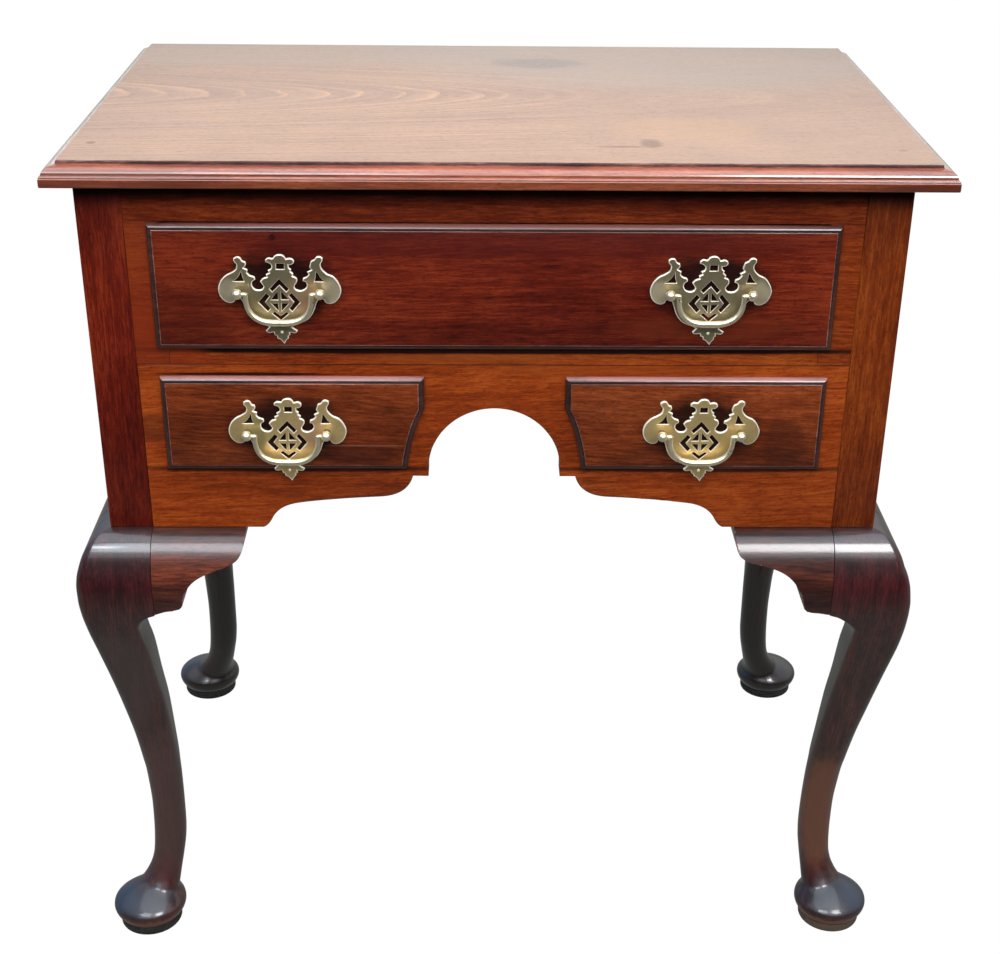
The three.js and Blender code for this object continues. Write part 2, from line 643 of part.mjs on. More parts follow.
function plateGeometry() {
  const outline = polygon([...plateRight, ...plateLeft.toReversed()]);
  const pierced = [crestSlot, ...wingHoles, ...chevrons, ...quarters];
  const drilled = (x, z, radius, sides) => new THREE.CylinderGeometry(radius, radius, 20, sides)
    .translate(x, 0, z);
  return cutBy(sawnInFront(outline, 0, plateThickness), [
    ...pierced.map((points) => sawnInFront(polygon(points), -1, plateThickness + 1)),
    drilled(-handle.boring / 2, -plateLift, shankRadius + holeClearance, 10),
    drilled(handle.boring / 2, -plateLift, shankRadius + holeClearance, 10),
    drilled(pinHole.x, pinHole.z, pinHole.radius, 8),
  ]);
}

// The left post: a ball head with a socket for the bail, a collar, a shank and its nut
function postGeometry() {
  const nutStart = drawerFrontBack + gap - ballY;
  const nutLength = 5;
  const collar = ballStand - gap;
  const outline = [
    [0, -ballRadius], [2.4, -3.4], [3.8, -1.8], [ballRadius, 0], [3.8, 1.8], [2.4, 3.5],
    [2.4, collar - 1.6], [3.7, collar - 0.9], [3.7, collar], [shankRadius, collar],
    [shankRadius, nutStart + nutLength + 2], [0, nutStart + nutLength + 2],
  ];
  const turned = new THREE.LatheGeometry(outline.map(([r, y]) => new THREE.Vector2(r, y)), 10);
  const nut = new THREE.CylinderGeometry(5.6, 5.6, nutLength, 6)
    .translate(0, nutStart + nutLength / 2, 0);
  const socketLength = 6;
  const socket = new THREE.CylinderGeometry(pinHoleRadius, pinHoleRadius, socketLength, 10)
    .rotateZ(Math.PI / 2).translate(socketBottom + socketLength / 2, 0, 0);
  return cutBy(joined([turned, nut]), [socket]);
}

// The bail: pins that turn outwards into the ball heads, and a bow that swells towards its middle
function bailGeometry() {
  const shoulder = 25;
  const pinEnd = handle.boring / 2 - socketBottom - 0.5;
  const path = new THREE.CatmullRomCurve3([
    [-shoulder, 1.2], [-shoulder - 0.1, -3], [-24.6, -9], [-22.5, -14.6], [-18.4, -19.2],
    [-12.4, -22.2], [-6, -bailDrop], [0, -bailDrop], [6, -bailDrop], [12.4, -22.2],
    [18.4, -19.2], [22.5, -14.6], [24.6, -9], [shoulder + 0.1, -3], [shoulder, 1.2],
  ].map(([x, z]) => new THREE.Vector3(x, 0, z)), false, 'centripetal');
  const [stations, sides, thin, thick] = [20, 8, 1.9, 2.7];
  const rings = Array.from({ length: stations + 1 }, (_, station) => {
    const at = station / stations;
    const point = path.getPointAt(at);
    const along = path.getTangentAt(at);
    const radius = thin + (thick - thin) * Math.sin(Math.PI * at) ** 2;
    return Array.from({ length: sides }, (__, side) => {
      const angle = (2 * Math.PI * side) / sides;
      const across = radius * Math.cos(angle);
      return new THREE.Vector3(
        point.x - across * along.z, -radius * Math.sin(angle), point.z + across * along.x);
    });
  });
  const bow = loft(rings, (point) => new THREE.Vector2(point.x, -point.y));
  const pinLength = pinEnd - shoulder;
  const pin = (end) => new THREE.CylinderGeometry(pinRadius, pinRadius, pinLength, 10)
    .rotateZ(Math.PI / 2).translate(end * (shoulder + pinLength / 2), 0, 0);
  return joined([bow, pin(-1), pin(1)]);
}

function buildHandles() {
  const plate = plateGeometry();
  const post = postGeometry();
  const bail = bailGeometry();
  const places = {
    upper_left: [-handle.fromCentre, handle.longHeight],
    upper_right: [handle.fromCentre, handle.longHeight],
    lower_left: [-handle.fromCentre, handle.shortHeight],
    lower_right: [handle.fromCentre, handle.shortHeight],
  };
  for (const [name, [x, z]] of Object.entries(places)) {
    add(`${name}_plate`, plate.clone().translate(x, plateFace, z + plateLift), 'brass');
    add(`${name}_left_post`, post.clone().translate(x - handle.boring / 2, ballY, z), 'brass');
    add(`${name}_right_post`, mirroredX(post).translate(x + handle.boring / 2, ballY, z), 'brass');
    add(`${name}_bail`, bail.clone().translate(x, ballY, z), 'brass');
  }
}

buildTop();
buildLegs();
buildBrackets();
buildFrame();
buildCase();
buildRunners();
buildGlueBlocks();
buildLongDrawer();
buildShortDrawers();
buildHandles();

export default lowboy;
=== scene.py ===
"""A mahogany lowboy on cabriole legs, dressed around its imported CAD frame."""

import json
import logging
import math
from collections.abc import Sequence
from dataclasses import dataclass, field
from enum import Enum
from typing import Any

import bmesh
import bpy
from mathutils import Matrix, Vector

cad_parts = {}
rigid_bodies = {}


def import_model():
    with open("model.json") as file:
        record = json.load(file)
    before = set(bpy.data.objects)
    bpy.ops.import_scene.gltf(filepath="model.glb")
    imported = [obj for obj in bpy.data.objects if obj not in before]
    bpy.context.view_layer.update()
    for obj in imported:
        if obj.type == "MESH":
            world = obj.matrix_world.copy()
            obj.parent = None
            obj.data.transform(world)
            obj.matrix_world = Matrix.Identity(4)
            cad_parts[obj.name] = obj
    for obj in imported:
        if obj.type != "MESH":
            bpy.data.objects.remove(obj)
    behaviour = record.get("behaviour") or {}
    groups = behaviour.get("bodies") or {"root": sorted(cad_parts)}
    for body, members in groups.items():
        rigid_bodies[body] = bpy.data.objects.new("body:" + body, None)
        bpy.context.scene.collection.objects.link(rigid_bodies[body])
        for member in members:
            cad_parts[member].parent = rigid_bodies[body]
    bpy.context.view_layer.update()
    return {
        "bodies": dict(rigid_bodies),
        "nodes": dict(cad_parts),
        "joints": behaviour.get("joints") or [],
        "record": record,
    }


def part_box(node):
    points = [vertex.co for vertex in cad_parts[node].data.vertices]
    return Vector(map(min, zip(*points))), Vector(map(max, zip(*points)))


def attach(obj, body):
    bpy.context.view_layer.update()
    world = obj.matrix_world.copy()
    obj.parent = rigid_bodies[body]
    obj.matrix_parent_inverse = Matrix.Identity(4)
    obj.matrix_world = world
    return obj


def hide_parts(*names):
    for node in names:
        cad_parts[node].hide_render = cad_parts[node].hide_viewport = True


LOG = logging.getLogger("lowboy")
MM = 0.001
LEFT, RIGHT = -1, 1

HALF_WIDTH = 318.5
HALF_DEPTH = 192.5
CASE_BOTTOM = 415.0
CASE_TOP = 710.2
POST = 35.0
KNEE_BOTTOM = 345.0
FRAME_BACK = -172.5
DRAWER_FACE = -199.2

Point = tuple[float, float]
Colour = tuple[float, float, float, float]
Mesh = bmesh.types.BMesh
Socket = bpy.types.NodeSocket
Value = float | Sequence[float] | Socket


def shade(red: int, green: int, blue: int) -> Colour:
    """Turns a colour as seen on a screen into the linear one that shaders use.

    Args:
        red, green, blue: the parts, from 0 to 255.

    Returns:
        The linear colour with a full alpha.
    """

    def linear(part: int) -> float:
        """One part's linear value."""
        share = part / 255
        return share / 12.92 if share <= 0.04045 else ((share + 0.055) / 1.055) ** 2.4

    return (linear(red), linear(green), linear(blue), 1.0)


def ease(share: float) -> float:
    """A soft step from 0 to 1."""
    share = min(max(share, 0.0), 1.0)
    return share * share * (3 - 2 * share)


def soft_max(a: float, b: float, blend: float) -> float:
    """The larger of two lengths, with a fillet where they are nearly equal.

    Args:
        a, b: the two lengths.
        blend: how far apart they may be and still be blended.

    Returns:
        The blended length.
    """
    near = max(blend - abs(a - b), 0.0) / blend
    return max(a, b) + near * near * blend / 4


def flowing(points: Sequence[Point], pieces: int, corner: float = 50.0, closed: bool = False) -> list[Point]:
    """Draws a smooth line through the points of a pattern, keeping its corners.

    Args:
        points: the pattern's points.
        pieces: how many short lines each span gets.
        corner: a point where the line turns by more degrees than this stays sharp.
        closed: whether the last point joins the first.

    Returns:
        The finer line, without its first point repeated at the end.
    """
    path = [Vector(p) for p in points]
    count = len(path)

    def tangents(i: int) -> tuple[Vector, Vector]:
        """The line's direction as it reaches and as it leaves point i."""
        before = path[(i - 1) % count] if closed or i > 0 else None
        after = path[(i + 1) % count] if closed or i < count - 1 else None
        arrive = path[i] - before if before is not None else after - path[i]
        leave = after - path[i] if after is not None else arrive
        if arrive.length == 0 or leave.length == 0 or arrive.angle(leave) > math.radians(corner):
            return arrive, leave
        way = (arrive.normalized() + leave.normalized()).normalized()
        return way * arrive.length, way * leave.length

    line: list[Point] = []
    for i in range(count if closed else count - 1):
        start, end = path[i], path[(i + 1) % count]
        out, into = tangents(i)[1], tangents((i + 1) % count)[0]
        for step in range(pieces):
            t = step / pieces
            a, b = 2 * t**3 - 3 * t**2 + 1, t**3 - 2 * t**2 + t
            c, d = 3 * t**2 - 2 * t**3, t**3 - t**2
            line.append(tuple(a * start + b * out + c * end + d * into))
    if not closed:
        line.append(tuple(path[-1]))
    return line


@dataclass(frozen=True)
class Column:
    """A measure that changes with height, smooth and without overshoot.

    Attributes:
        rows: pairs of height and measure, from the top down.
    """

    rows: tuple[Point, ...]

    def at(self, height: float) -> float:
        """The measure at a height."""
        rows = self.rows
        if height >= rows[0][0]:
            return rows[0][1]
        if height <= rows[-1][0]:
            return rows[-1][1]
        i = next(k for k in range(len(rows) - 1) if rows[k + 1][0] <= height)
        (z0, v0), (z1, v1) = rows[i], rows[i + 1]
        t, span = (height - z0) / (z1 - z0), z1 - z0
        m0, m1 = self._slope(i) * span, self._slope(i + 1) * span
        return (
            (2 * t**3 - 3 * t**2 + 1) * v0
            + (t**3 - 2 * t**2 + t) * m0
            + (3 * t**2 - 2 * t**3) * v1
            + (t**3 - t**2) * m1
        )

    def _slope(self, i: int) -> float:
        """The slope at row i: the harmonic mean of its neighbours' slopes."""

        def secant(k: int) -> float:
            """The straight slope from row k to the next."""
            (z0, v0), (z1, v1) = self.rows[k], self.rows[k + 1]
            return (v1 - v0) / (z1 - z0)

        if i == 0:
            return secant(0)
        if i == len(self.rows) - 1:
            return secant(i - 1)
        a, b = secant(i - 1), secant(i)
        return 0.0 if a * b <= 0 else 2 * a * b / (a + b)


# Shader nodes


class Tree:
    """A hand for wiring a material's or a group's nodes."""

    def __init__(self, tree: bpy.types.NodeTree) -> None:
        """Takes the node tree to wire."""
        self.tree = tree

    def add(self, kind: str, **settings: Any) -> bpy.types.Node:
        """Adds a node and sets its options."""
        node = self.tree.nodes.new(kind)
        for name, value in settings.items():
            setattr(node, name, value)
        return node

    def feed(self, socket: Socket, value: Value) -> None:
        """Links a socket to another one, or sets its value."""
        if isinstance(value, bpy.types.NodeSocket):
            self.tree.links.new(value, socket)
        else:
            socket.default_value = value

    def math(self, operation: str, a: Value, b: Value = 0.0, clamp: bool = False) -> Socket:
        """A Math node's result."""
        node = self.add("ShaderNodeMath", operation=operation, use_clamp=clamp)
        self.feed(node.inputs[0], a)
        self.feed(node.inputs[1], b)
        return node.outputs[0]

    def span(self, value: Value, low: float, high: float, start: float = 0.0, end: float = 1.0) -> Socket:
        """Maps low..high softly onto start..end."""
        node = self.add("ShaderNodeMapRange", interpolation_type="SMOOTHSTEP")
        for socket, number in zip(node.inputs, (value, low, high, start, end)):
            self.feed(socket, number)
        return node.outputs[0]

    def stretched(self, vector: Value, scale: Sequence[float]) -> Socket:
        """A place, stretched along its axes."""
        node = self.add("ShaderNodeVectorMath", operation="MULTIPLY")
        self.feed(node.inputs[0], vector)
        self.feed(node.inputs[1], scale)
        return node.outputs[0]

    def noise(self, vector: Value, scale: Sequence[float], detail: float = 2.0, rough: float = 0.5) -> Socket:
        """Noise over a stretched place, from 0 to 1."""
        node = self.add("ShaderNodeTexNoise")
        self.feed(node.inputs["Vector"], self.stretched(vector, scale))
        self.feed(node.inputs["Scale"], 1.0)
        self.feed(node.inputs["Detail"], detail)
        self.feed(node.inputs["Roughness"], rough)
        return node.outputs[0]

    def ramp(self, value: Value, stops: Sequence[tuple[float, Colour]]) -> Socket:
        """A colour ramp's colour."""
        node = self.add("ShaderNodeValToRGB")
        elements = node.color_ramp.elements
        while len(elements) < len(stops):
            elements.new(0.5)
        for element, (place, colour) in zip(elements, stops):
            element.position = place
            element.color = colour
        self.feed(node.inputs[0], value)
        return node.outputs[0]

    def mix(self, share: Value, a: Value, b: Value, blend: str = "MIX") -> Socket:
        """Two colours, mixed."""
        node = self.add("ShaderNodeMix", data_type="RGBA", blend_type=blend)
        self.feed(node.inputs[0], share)
        self.feed(node.inputs[6], a)
        self.feed(node.inputs[7], b)
        return node.outputs[2]

    def split(self, vector: Value) -> tuple[Socket, Socket, Socket]:
        """A place's three parts."""
        node = self.add("ShaderNodeSeparateXYZ")
        self.feed(node.inputs[0], vector)
        return tuple(node.outputs)

    def place(self, turn: Sequence[float] = (0.0, 0.0, 0.0), shift: Sequence[float] = (0.0, 0.0, 0.0)) -> Socket:
        """Object coordinates, turned and shifted onto a piece."""
        source = self.add("ShaderNodeTexCoord")
        mapping = self.add("ShaderNodeMapping")
        self.feed(mapping.inputs["Vector"], source.outputs["Object"])
        self.feed(mapping.inputs["Rotation"], turn)
        self.feed(mapping.inputs["Location"], shift)
        return mapping.outputs[0]

    def use(self, group: bpy.types.NodeTree, **values: Value) -> bpy.types.Node:
        """Places a group; underscores in the names stand for spaces."""
        node = self.add("ShaderNodeGroup", node_tree=group)
        for name, value in values.items():
            self.feed(node.inputs[name.replace("_", " ")], value)
        return node


def new_group(name: str, inputs: dict[str, tuple[str, Any]], outputs: Sequence[str]) -> tuple[Tree, Any, Any]:
    """Starts a shader group with named sockets.

    Args:
        name: the group's name.
        inputs: each input's name, with its kind and its first value.
        outputs: the names of its values.

    Returns:
        The group's tree, its input node and its output node.
    """
    group = bpy.data.node_groups.new(name, "ShaderNodeTree")
    for label, (kind, value) in inputs.items():
        socket = group.interface.new_socket(name=label, in_out="INPUT", socket_type=f"NodeSocket{kind}")
        socket.default_value = value
    for label in outputs:
        group.interface.new_socket(name=label, in_out="OUTPUT", socket_type="NodeSocketFloat")
    tree = Tree(group)
    return tree, tree.add("NodeGroupInput").outputs, tree.add("NodeGroupOutput").inputs


@dataclass
class Effects:
    """The shader groups that several finishes share.

    Attributes:
        grain: growth rings, fibres and pores of a board whose grain runs along X.
        patch: a ragged oval mark.
        grime: slow and fine mottling.
    """

    grain: bpy.types.NodeTree = field(init=False)
    patch: bpy.types.NodeTree = field(init=False)
    grime: bpy.types.NodeTree = field(init=False)

    def __post_init__(self) -> None:
        """Builds the groups once."""
        self.grain = self._grain()
        self.patch = self._patch()
        self.grime = self._grime()

    @staticmethod
    def _grain() -> bpy.types.NodeTree:
        """Rings cut at a slant by the board's face, which gives nested arches."""
        flat = ("Float", 0.0)
        tree, given, made = new_group(
            "Board grain",
            {"Vector": ("Vector", (0, 0, 0)), "Heart": flat, "Depth": flat, "Slant": flat,
             "Rings": ("Float", 120.0), "Lines": ("Float", 300.0), "Waver": ("Float", 0.01)},
            ["Figure", "Streak", "Fibre", "Pores", "Drift"],
        )
        place = given["Vector"]
        along, across, deep = tree.split(place)
        wander = tree.math("SUBTRACT", tree.noise(place, (4, 16, 16), 3.0, 0.55), 0.5)
        side = tree.math("SUBTRACT", across, given["Heart"])
        slant = tree.math("MULTIPLY", along, given["Slant"])
        down = tree.math("ADD", tree.math("ADD", deep, given["Depth"]), slant)
        square = tree.math("ADD", tree.math("MULTIPLY", side, side), tree.math("MULTIPLY", down, down))
        ring = tree.math("ADD", tree.math("SQRT", square), tree.math("MULTIPLY", wander, given["Waver"]))
        bands = tree.add("ShaderNodeTexNoise", noise_dimensions="1D")
        tree.feed(bands.inputs["W"], tree.math("MULTIPLY", ring, given["Rings"]))
        tree.feed(bands.inputs["Scale"], 1.0)
        tree.feed(bands.inputs["Detail"], 3.0)
        tree.feed(bands.inputs["Roughness"], 0.6)
        saw = tree.math("FRACT", tree.math("ADD", tree.math("MULTIPLY", ring, given["Lines"]), bands.outputs[0]))
        line = tree.math("MULTIPLY", tree.math("POWER", saw, 3.0), tree.noise(place, (5, 30, 30), 1.0, 0.5))
        tree.feed(made["Figure"], tree.math("ADD", tree.math("MULTIPLY", bands.outputs[0], 0.75), line))
        bent = tree.add("ShaderNodeCombineXYZ")
        tree.feed(bent.inputs[0], along)
        tree.feed(bent.inputs[1], tree.math("ADD", across, tree.math("MULTIPLY", wander, 0.004)))
        tree.feed(bent.inputs[2], deep)
        tree.feed(made["Streak"], tree.noise(bent.outputs[0], (11, 130, 130), 4.0, 0.6))
        tree.feed(made["Fibre"], tree.noise(bent.outputs[0], (60, 640, 640), 4.0, 0.72))
        dots = tree.noise(bent.outputs[0], (240, 1500, 1500), 1.0, 0.5)
        tree.feed(made["Pores"], tree.span(dots, 0.55, 0.7))
        tree.feed(made["Drift"], tree.noise(place, (3.5, 11, 11), 2.0, 0.5))
        return tree.tree

    @staticmethod
    def _patch() -> bpy.types.NodeTree:
        """Full inside an oval, fading through a ragged border."""
        tree, given, made = new_group(
            "Ragged patch",
            {"Vector": ("Vector", (0, 0, 0)), "Centre": ("Vector", (0, 0, 0)),
             "Spread": ("Vector", (1, 1, 1)), "Ragged": ("Float", 0.5), "Size": ("Float", 60.0)},
            ["Mask"],
        )
        away = tree.add("ShaderNodeVectorMath", operation="SUBTRACT")
        tree.feed(away.inputs[0], given["Vector"])
        tree.feed(away.inputs[1], given["Centre"])
        scaled = tree.add("ShaderNodeVectorMath", operation="DIVIDE")
        tree.feed(scaled.inputs[0], away.outputs[0])
        tree.feed(scaled.inputs[1], given["Spread"])
        length = tree.add("ShaderNodeVectorMath", operation="LENGTH")
        tree.feed(length.inputs[0], scaled.outputs[0])
        torn = tree.add("ShaderNodeTexNoise")
        tree.feed(torn.inputs["Vector"], given["Vector"])
        tree.feed(torn.inputs["Scale"], given["Size"])
        tree.feed(torn.inputs["Detail"], 4.0)
        tree.feed(torn.inputs["Roughness"], 0.6)
        lift = tree.math("MULTIPLY", tree.math("SUBTRACT", torn.outputs[0], 0.5), given["Ragged"])
        tree.feed(made["Mask"], tree.span(tree.math("ADD", length.outputs["Value"], lift), 0.6, 1.15, 1.0, 0.0))
        return tree.tree

    @staticmethod
    def _grime() -> bpy.types.NodeTree:
        """Clouds of old polish and dirt, and specks."""
        tree, given, made = new_group(
            "Old grime", {"Vector": ("Vector", (0, 0, 0)), "Size": ("Float", 30.0)}, ["Clouds", "Specks"]
        )
        clouds = tree.add("ShaderNodeTexNoise")
        tree.feed(clouds.inputs["Vector"], given["Vector"])
        tree.feed(clouds.inputs["Scale"], given["Size"])
        tree.feed(clouds.inputs["Detail"], 4.0)
        tree.feed(clouds.inputs["Roughness"], 0.6)
        tree.feed(made["Clouds"], clouds.outputs[0])
        specks = tree.noise(given["Vector"], (900, 900, 900), 2.0, 0.6)
        tree.feed(made["Specks"], tree.span(specks, 0.6, 0.7))
        return tree.tree


class Run(Enum):
    """Which way the grain of a piece runs, as the turn that lays it along X."""

    ACROSS = (0.0, 0.0, 0.0)
    DEEP = (0.0, 0.0, -math.pi / 2)
    UPRIGHT = (0.0, math.pi / 2, 0.0)


@dataclass(frozen=True)
class Mark:
    """A stain, a rubbed place, a darkened band, or painted shade or a painted highlight.

    Attributes:
        centre: where it is, in millimetres.
        spread: how far it reaches each way, in millimetres.
        colour: the colour that it turns the wood to.
        share: how much of that colour shows.
        ragged: how torn its border is.
        size: how fine the tears are.
    """

    centre: tuple[float, float, float]
    spread: tuple[float, float, float]
    colour: Colour
    share: float = 0.5
    ragged: float = 0.6
    size: float = 60.0


def stained(
    tree: Tree, effects: Effects, place: Socket, colour: Socket, marks: Sequence[Mark]
) -> tuple[Socket, Value]:
    """Lays marks over a colour, one after another.

    Args:
        tree: the material's nodes.
        effects: the shared groups.
        place: Object coordinates.
        colour: the clean colour.
        marks: the marks.

    Returns:
        The marked colour, and how marked each place is.
    """
    mark_cover: Value = 0.0
    for mark in marks:
        mask = tree.use(
            effects.patch, Vector=place, Centre=[v * MM for v in mark.centre],
            Spread=[v * MM for v in mark.spread], Ragged=mark.ragged, Size=mark.size,
        ).outputs["Mask"]
        mask = tree.math("MULTIPLY", mask, mark.share)
        colour = tree.mix(mask, colour, mark.colour)
        mark_cover = tree.math("MAXIMUM", mask, mark_cover)
    return colour, mark_cover


@dataclass(frozen=True)
class Wood:
    """A polished or bare wood finish.

    Attributes:
        name: the material's name.
        deep, body, light: the colours of its dark, middle and light figure.
        run: which way the grain runs.
        shift: where in the log the board was cut, in metres.
        heart, depth, slant, rings, lines, waver: the figure's shape.
        figure, streak, fibre, drift: how much each sways the colour.
        figure_ends: between which places along the grain, in metres, the figure fades to a quarter.
        tilt: how far the grain of a board that lies across slopes, in degrees.
        pores: how dark the pores are.
        rough: the roughness.
        coat: how much polish lies over it, and how rough that is.
        gloss: the specular level.
        relief: how deep pores and fibres are, in metres.
        marks: stains and wear, and painted shade and highlights.
        heights: pairs of height in metres and a tint that the wood takes there, which in places is painted shade or
            light.
    """

    name: str
    deep: Colour
    body: Colour
    light: Colour
    run: Run = Run.ACROSS
    shift: tuple[float, float, float] = (0.0, 0.0, 0.0)
    heart: float = 0.9
    depth: float = 0.3
    slant: float = 0.03
    rings: float = 130.0
    lines: float = 330.0
    waver: float = 0.012
    figure: float = 0.1
    streak: float = 0.36
    figure_ends: Point | None = None
    tilt: float = 0.0
    fibre: float = 0.7
    drift: float = 0.45
    pores: float = 0.5
    rough: float = 0.34
    coat: tuple[float, float] = (0.15, 0.15)
    gloss: float = 0.12
    relief: float = 0.00006
    marks: tuple[Mark, ...] = ()
    heights: tuple[tuple[float, Colour], ...] = ()

    def make(self, effects: Effects) -> bpy.types.Material:
        """Wires the finish.

        Args:
            effects: the shared groups.

        Returns:
            The material.
        """
        material = bpy.data.materials.new(self.name)
        material.use_nodes = True
        tree = Tree(material.node_tree)
        shader = material.node_tree.nodes["Principled BSDF"]
        turn = (self.run.value[0], self.run.value[1] + math.radians(self.tilt), self.run.value[2])
        place = tree.place(turn, self.shift)
        grain = tree.use(
            effects.grain, Vector=place, Heart=self.heart, Depth=self.depth,
            Slant=self.slant, Rings=self.rings, Lines=self.lines, Waver=self.waver,
        ).outputs
        true_place = tree.place()
        grime = tree.use(effects.grime, Vector=true_place, Size=22.0).outputs
        tone = tree.math("MULTIPLY", tree.math("SUBTRACT", grain["Figure"], 0.5), self.figure * 2)
        if self.figure_ends:
            tone = tree.math("MULTIPLY", tone, tree.span(tree.split(place)[0], *self.figure_ends, 1.0, 0.25))
        swayed = (
            (grain["Streak"], self.streak), (grain["Fibre"], self.fibre), (grain["Drift"], self.drift),
            (grime["Clouds"], 0.12),
        )
        for part, share in swayed:
            sway = tree.math("MULTIPLY", tree.math("SUBTRACT", part, 0.5), share * 2)
            tone = tree.math("ADD", tone, sway)
        tone = tree.math("ADD", tone, 0.5, clamp=True)
        colour = tree.ramp(tone, ((0.12, self.deep), (0.5, self.body), (0.88, self.light)))
        dark = tuple(part * 0.45 for part in self.deep[:3]) + (1.0,)
        colour = tree.mix(tree.math("MULTIPLY", grain["Pores"], self.pores), colour, dark)
        if self.heights:
            height = tree.split(true_place)[2]
            low, high = self.heights[0][0], self.heights[-1][0]
            share = tree.math("DIVIDE", tree.math("SUBTRACT", height, low), high - low, clamp=True)
            stops = [((z - low) / (high - low), tint) for z, tint in self.heights]
            colour = tree.mix(1.0, colour, tree.ramp(share, stops), "MULTIPLY")
        colour, mark_cover = stained(tree, effects, true_place, colour, self.marks)
        tree.feed(shader.inputs["Base Color"], colour)
        sheen = tree.math("ADD", self.rough - 0.05, tree.math("MULTIPLY", grime["Clouds"], 0.1))
        sheen = tree.math("ADD", sheen, tree.math("MULTIPLY", grain["Pores"], 0.1))
        tree.feed(shader.inputs["Roughness"], tree.math("ADD", sheen, tree.math("MULTIPLY", mark_cover, 0.08)))
        shader.inputs["Specular IOR Level"].default_value = self.gloss
        weight, coat_rough = self.coat
        tree.feed(shader.inputs["Coat Weight"], tree.math("MULTIPLY", tree.span(mark_cover, 0.0, 1.6, 1.0, 0.3), weight))
        shader.inputs["Coat Roughness"].default_value = coat_rough
        relief = tree.math("ADD", grain["Fibre"], tree.math("MULTIPLY", grain["Pores"], -0.6))
        bump = tree.add("ShaderNodeBump")
        bump.inputs["Strength"].default_value = 0.6
        bump.inputs["Distance"].default_value = self.relief
        tree.feed(bump.inputs["Height"], relief)
        tree.feed(shader.inputs["Normal"], bump.outputs[0])
        return material


@dataclass(frozen=True)
class Brass:
    """Old lacquered brass.

    Attributes:
        name: the material's name.
        bright, dull: the colours of rubbed and of tarnished metal.
        metal: how metallic it is.
        rough: the roughness.
        tarnish: how much tarnish there is.
        relief: how deep its unevenness is, in metres.
        marks: places with another cast.
    """

    name: str
    bright: Colour
    dull: Colour
    metal: float = 0.9
    rough: float = 0.3
    tarnish: float = 0.5
    relief: float = 0.0001
    marks: tuple[Mark, ...] = ()

    def make(self, effects: Effects) -> bpy.types.Material:
        """Wires the finish.

        Args:
            effects: the shared groups.

        Returns:
            The material.
        """
        material = bpy.data.materials.new(self.name)
        material.use_nodes = True
        tree = Tree(material.node_tree)
        shader = material.node_tree.nodes["Principled BSDF"]
        place = tree.place()
        grime = tree.use(effects.grime, Vector=place, Size=90.0).outputs
        share = tree.span(grime["Clouds"], 0.35, 0.75)
        colour = tree.mix(tree.math("MULTIPLY", share, self.tarnish), self.bright, self.dull)
        dark = tuple(part * 0.3 for part in self.dull[:3]) + (1.0,)
        colour = tree.mix(tree.math("MULTIPLY", grime["Specks"], 0.5 * self.tarnish), colour, dark)
        colour, _ = stained(tree, effects, place, colour, self.marks)
        tree.feed(shader.inputs["Base Color"], colour)
        shader.inputs["Metallic"].default_value = self.metal
        tree.feed(shader.inputs["Roughness"], tree.math("ADD", self.rough, tree.math("MULTIPLY", share, 0.15)))
        bump = tree.add("ShaderNodeBump")
        bump.inputs["Strength"].default_value = 0.35
        bump.inputs["Distance"].default_value = self.relief
        tree.feed(bump.inputs["Height"], tree.noise(place, (420, 420, 420), 2.0, 0.5))
        tree.feed(shader.inputs["Normal"], bump.outputs[0])
        return material


# Mesh helpers


def put(
    name: str,
    shape: Mesh,
    body: str,
    materials: Sequence[bpy.types.Material],
    stands_for: Sequence[str] = (),
    crease: float = 32.0,
) -> bpy.types.Object:
    """Makes a finished piece of a mesh and hangs it on its body.

    Args:
        name: the piece's name.
        shape: its mesh, in millimetres.
        body: the CAD body that it moves with.
        materials: its finishes, by face index.
        stands_for: the CAD nodes that it replaces.
        crease: edges that turn by more degrees than this stay sharp.

    Returns:
        The piece's object.
    """
    bmesh.ops.scale(shape, vec=(MM, MM, MM), verts=shape.verts)
    bmesh.ops.recalc_face_normals(shape, faces=shape.faces)
    mesh = bpy.data.meshes.new(name)
    shape.to_mesh(mesh)
    shape.free()
    mesh.shade_smooth()
    mesh.set_sharp_from_angle(angle=math.radians(crease))
    for material in materials:
        mesh.materials.append(material)
    piece = bpy.data.objects.new(name, mesh)
    bpy.context.scene.collection.objects.link(piece)
    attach(piece, body)
    if stands_for:
        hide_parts(*stands_for)
    LOG.info("%s: %d faces on %s", name, len(mesh.polygons), body)
    return piece


def add_block(shape: Mesh, low: Sequence[float], high: Sequence[float], arris: float) -> None:
    """Adds a squared board with softened edges.

    Args:
        shape: the mesh to add to.
        low, high: its corners.
        arris: the width of the softened edges.
    """
    cube = bmesh.ops.create_cube(shape, size=1.0)["verts"]
    size, middle = Vector(high) - Vector(low), (Vector(low) + Vector(high)) / 2
    bmesh.ops.scale(shape, vec=size, verts=cube)
    bmesh.ops.translate(shape, vec=middle, verts=cube)
    edges = list({edge for vert in cube for edge in vert.link_edges})
    bmesh.ops.bevel(
        shape, geom=edges, offset=arris, offset_type="OFFSET", affect="EDGES", segments=2, profile=0.5, material=-1
    )


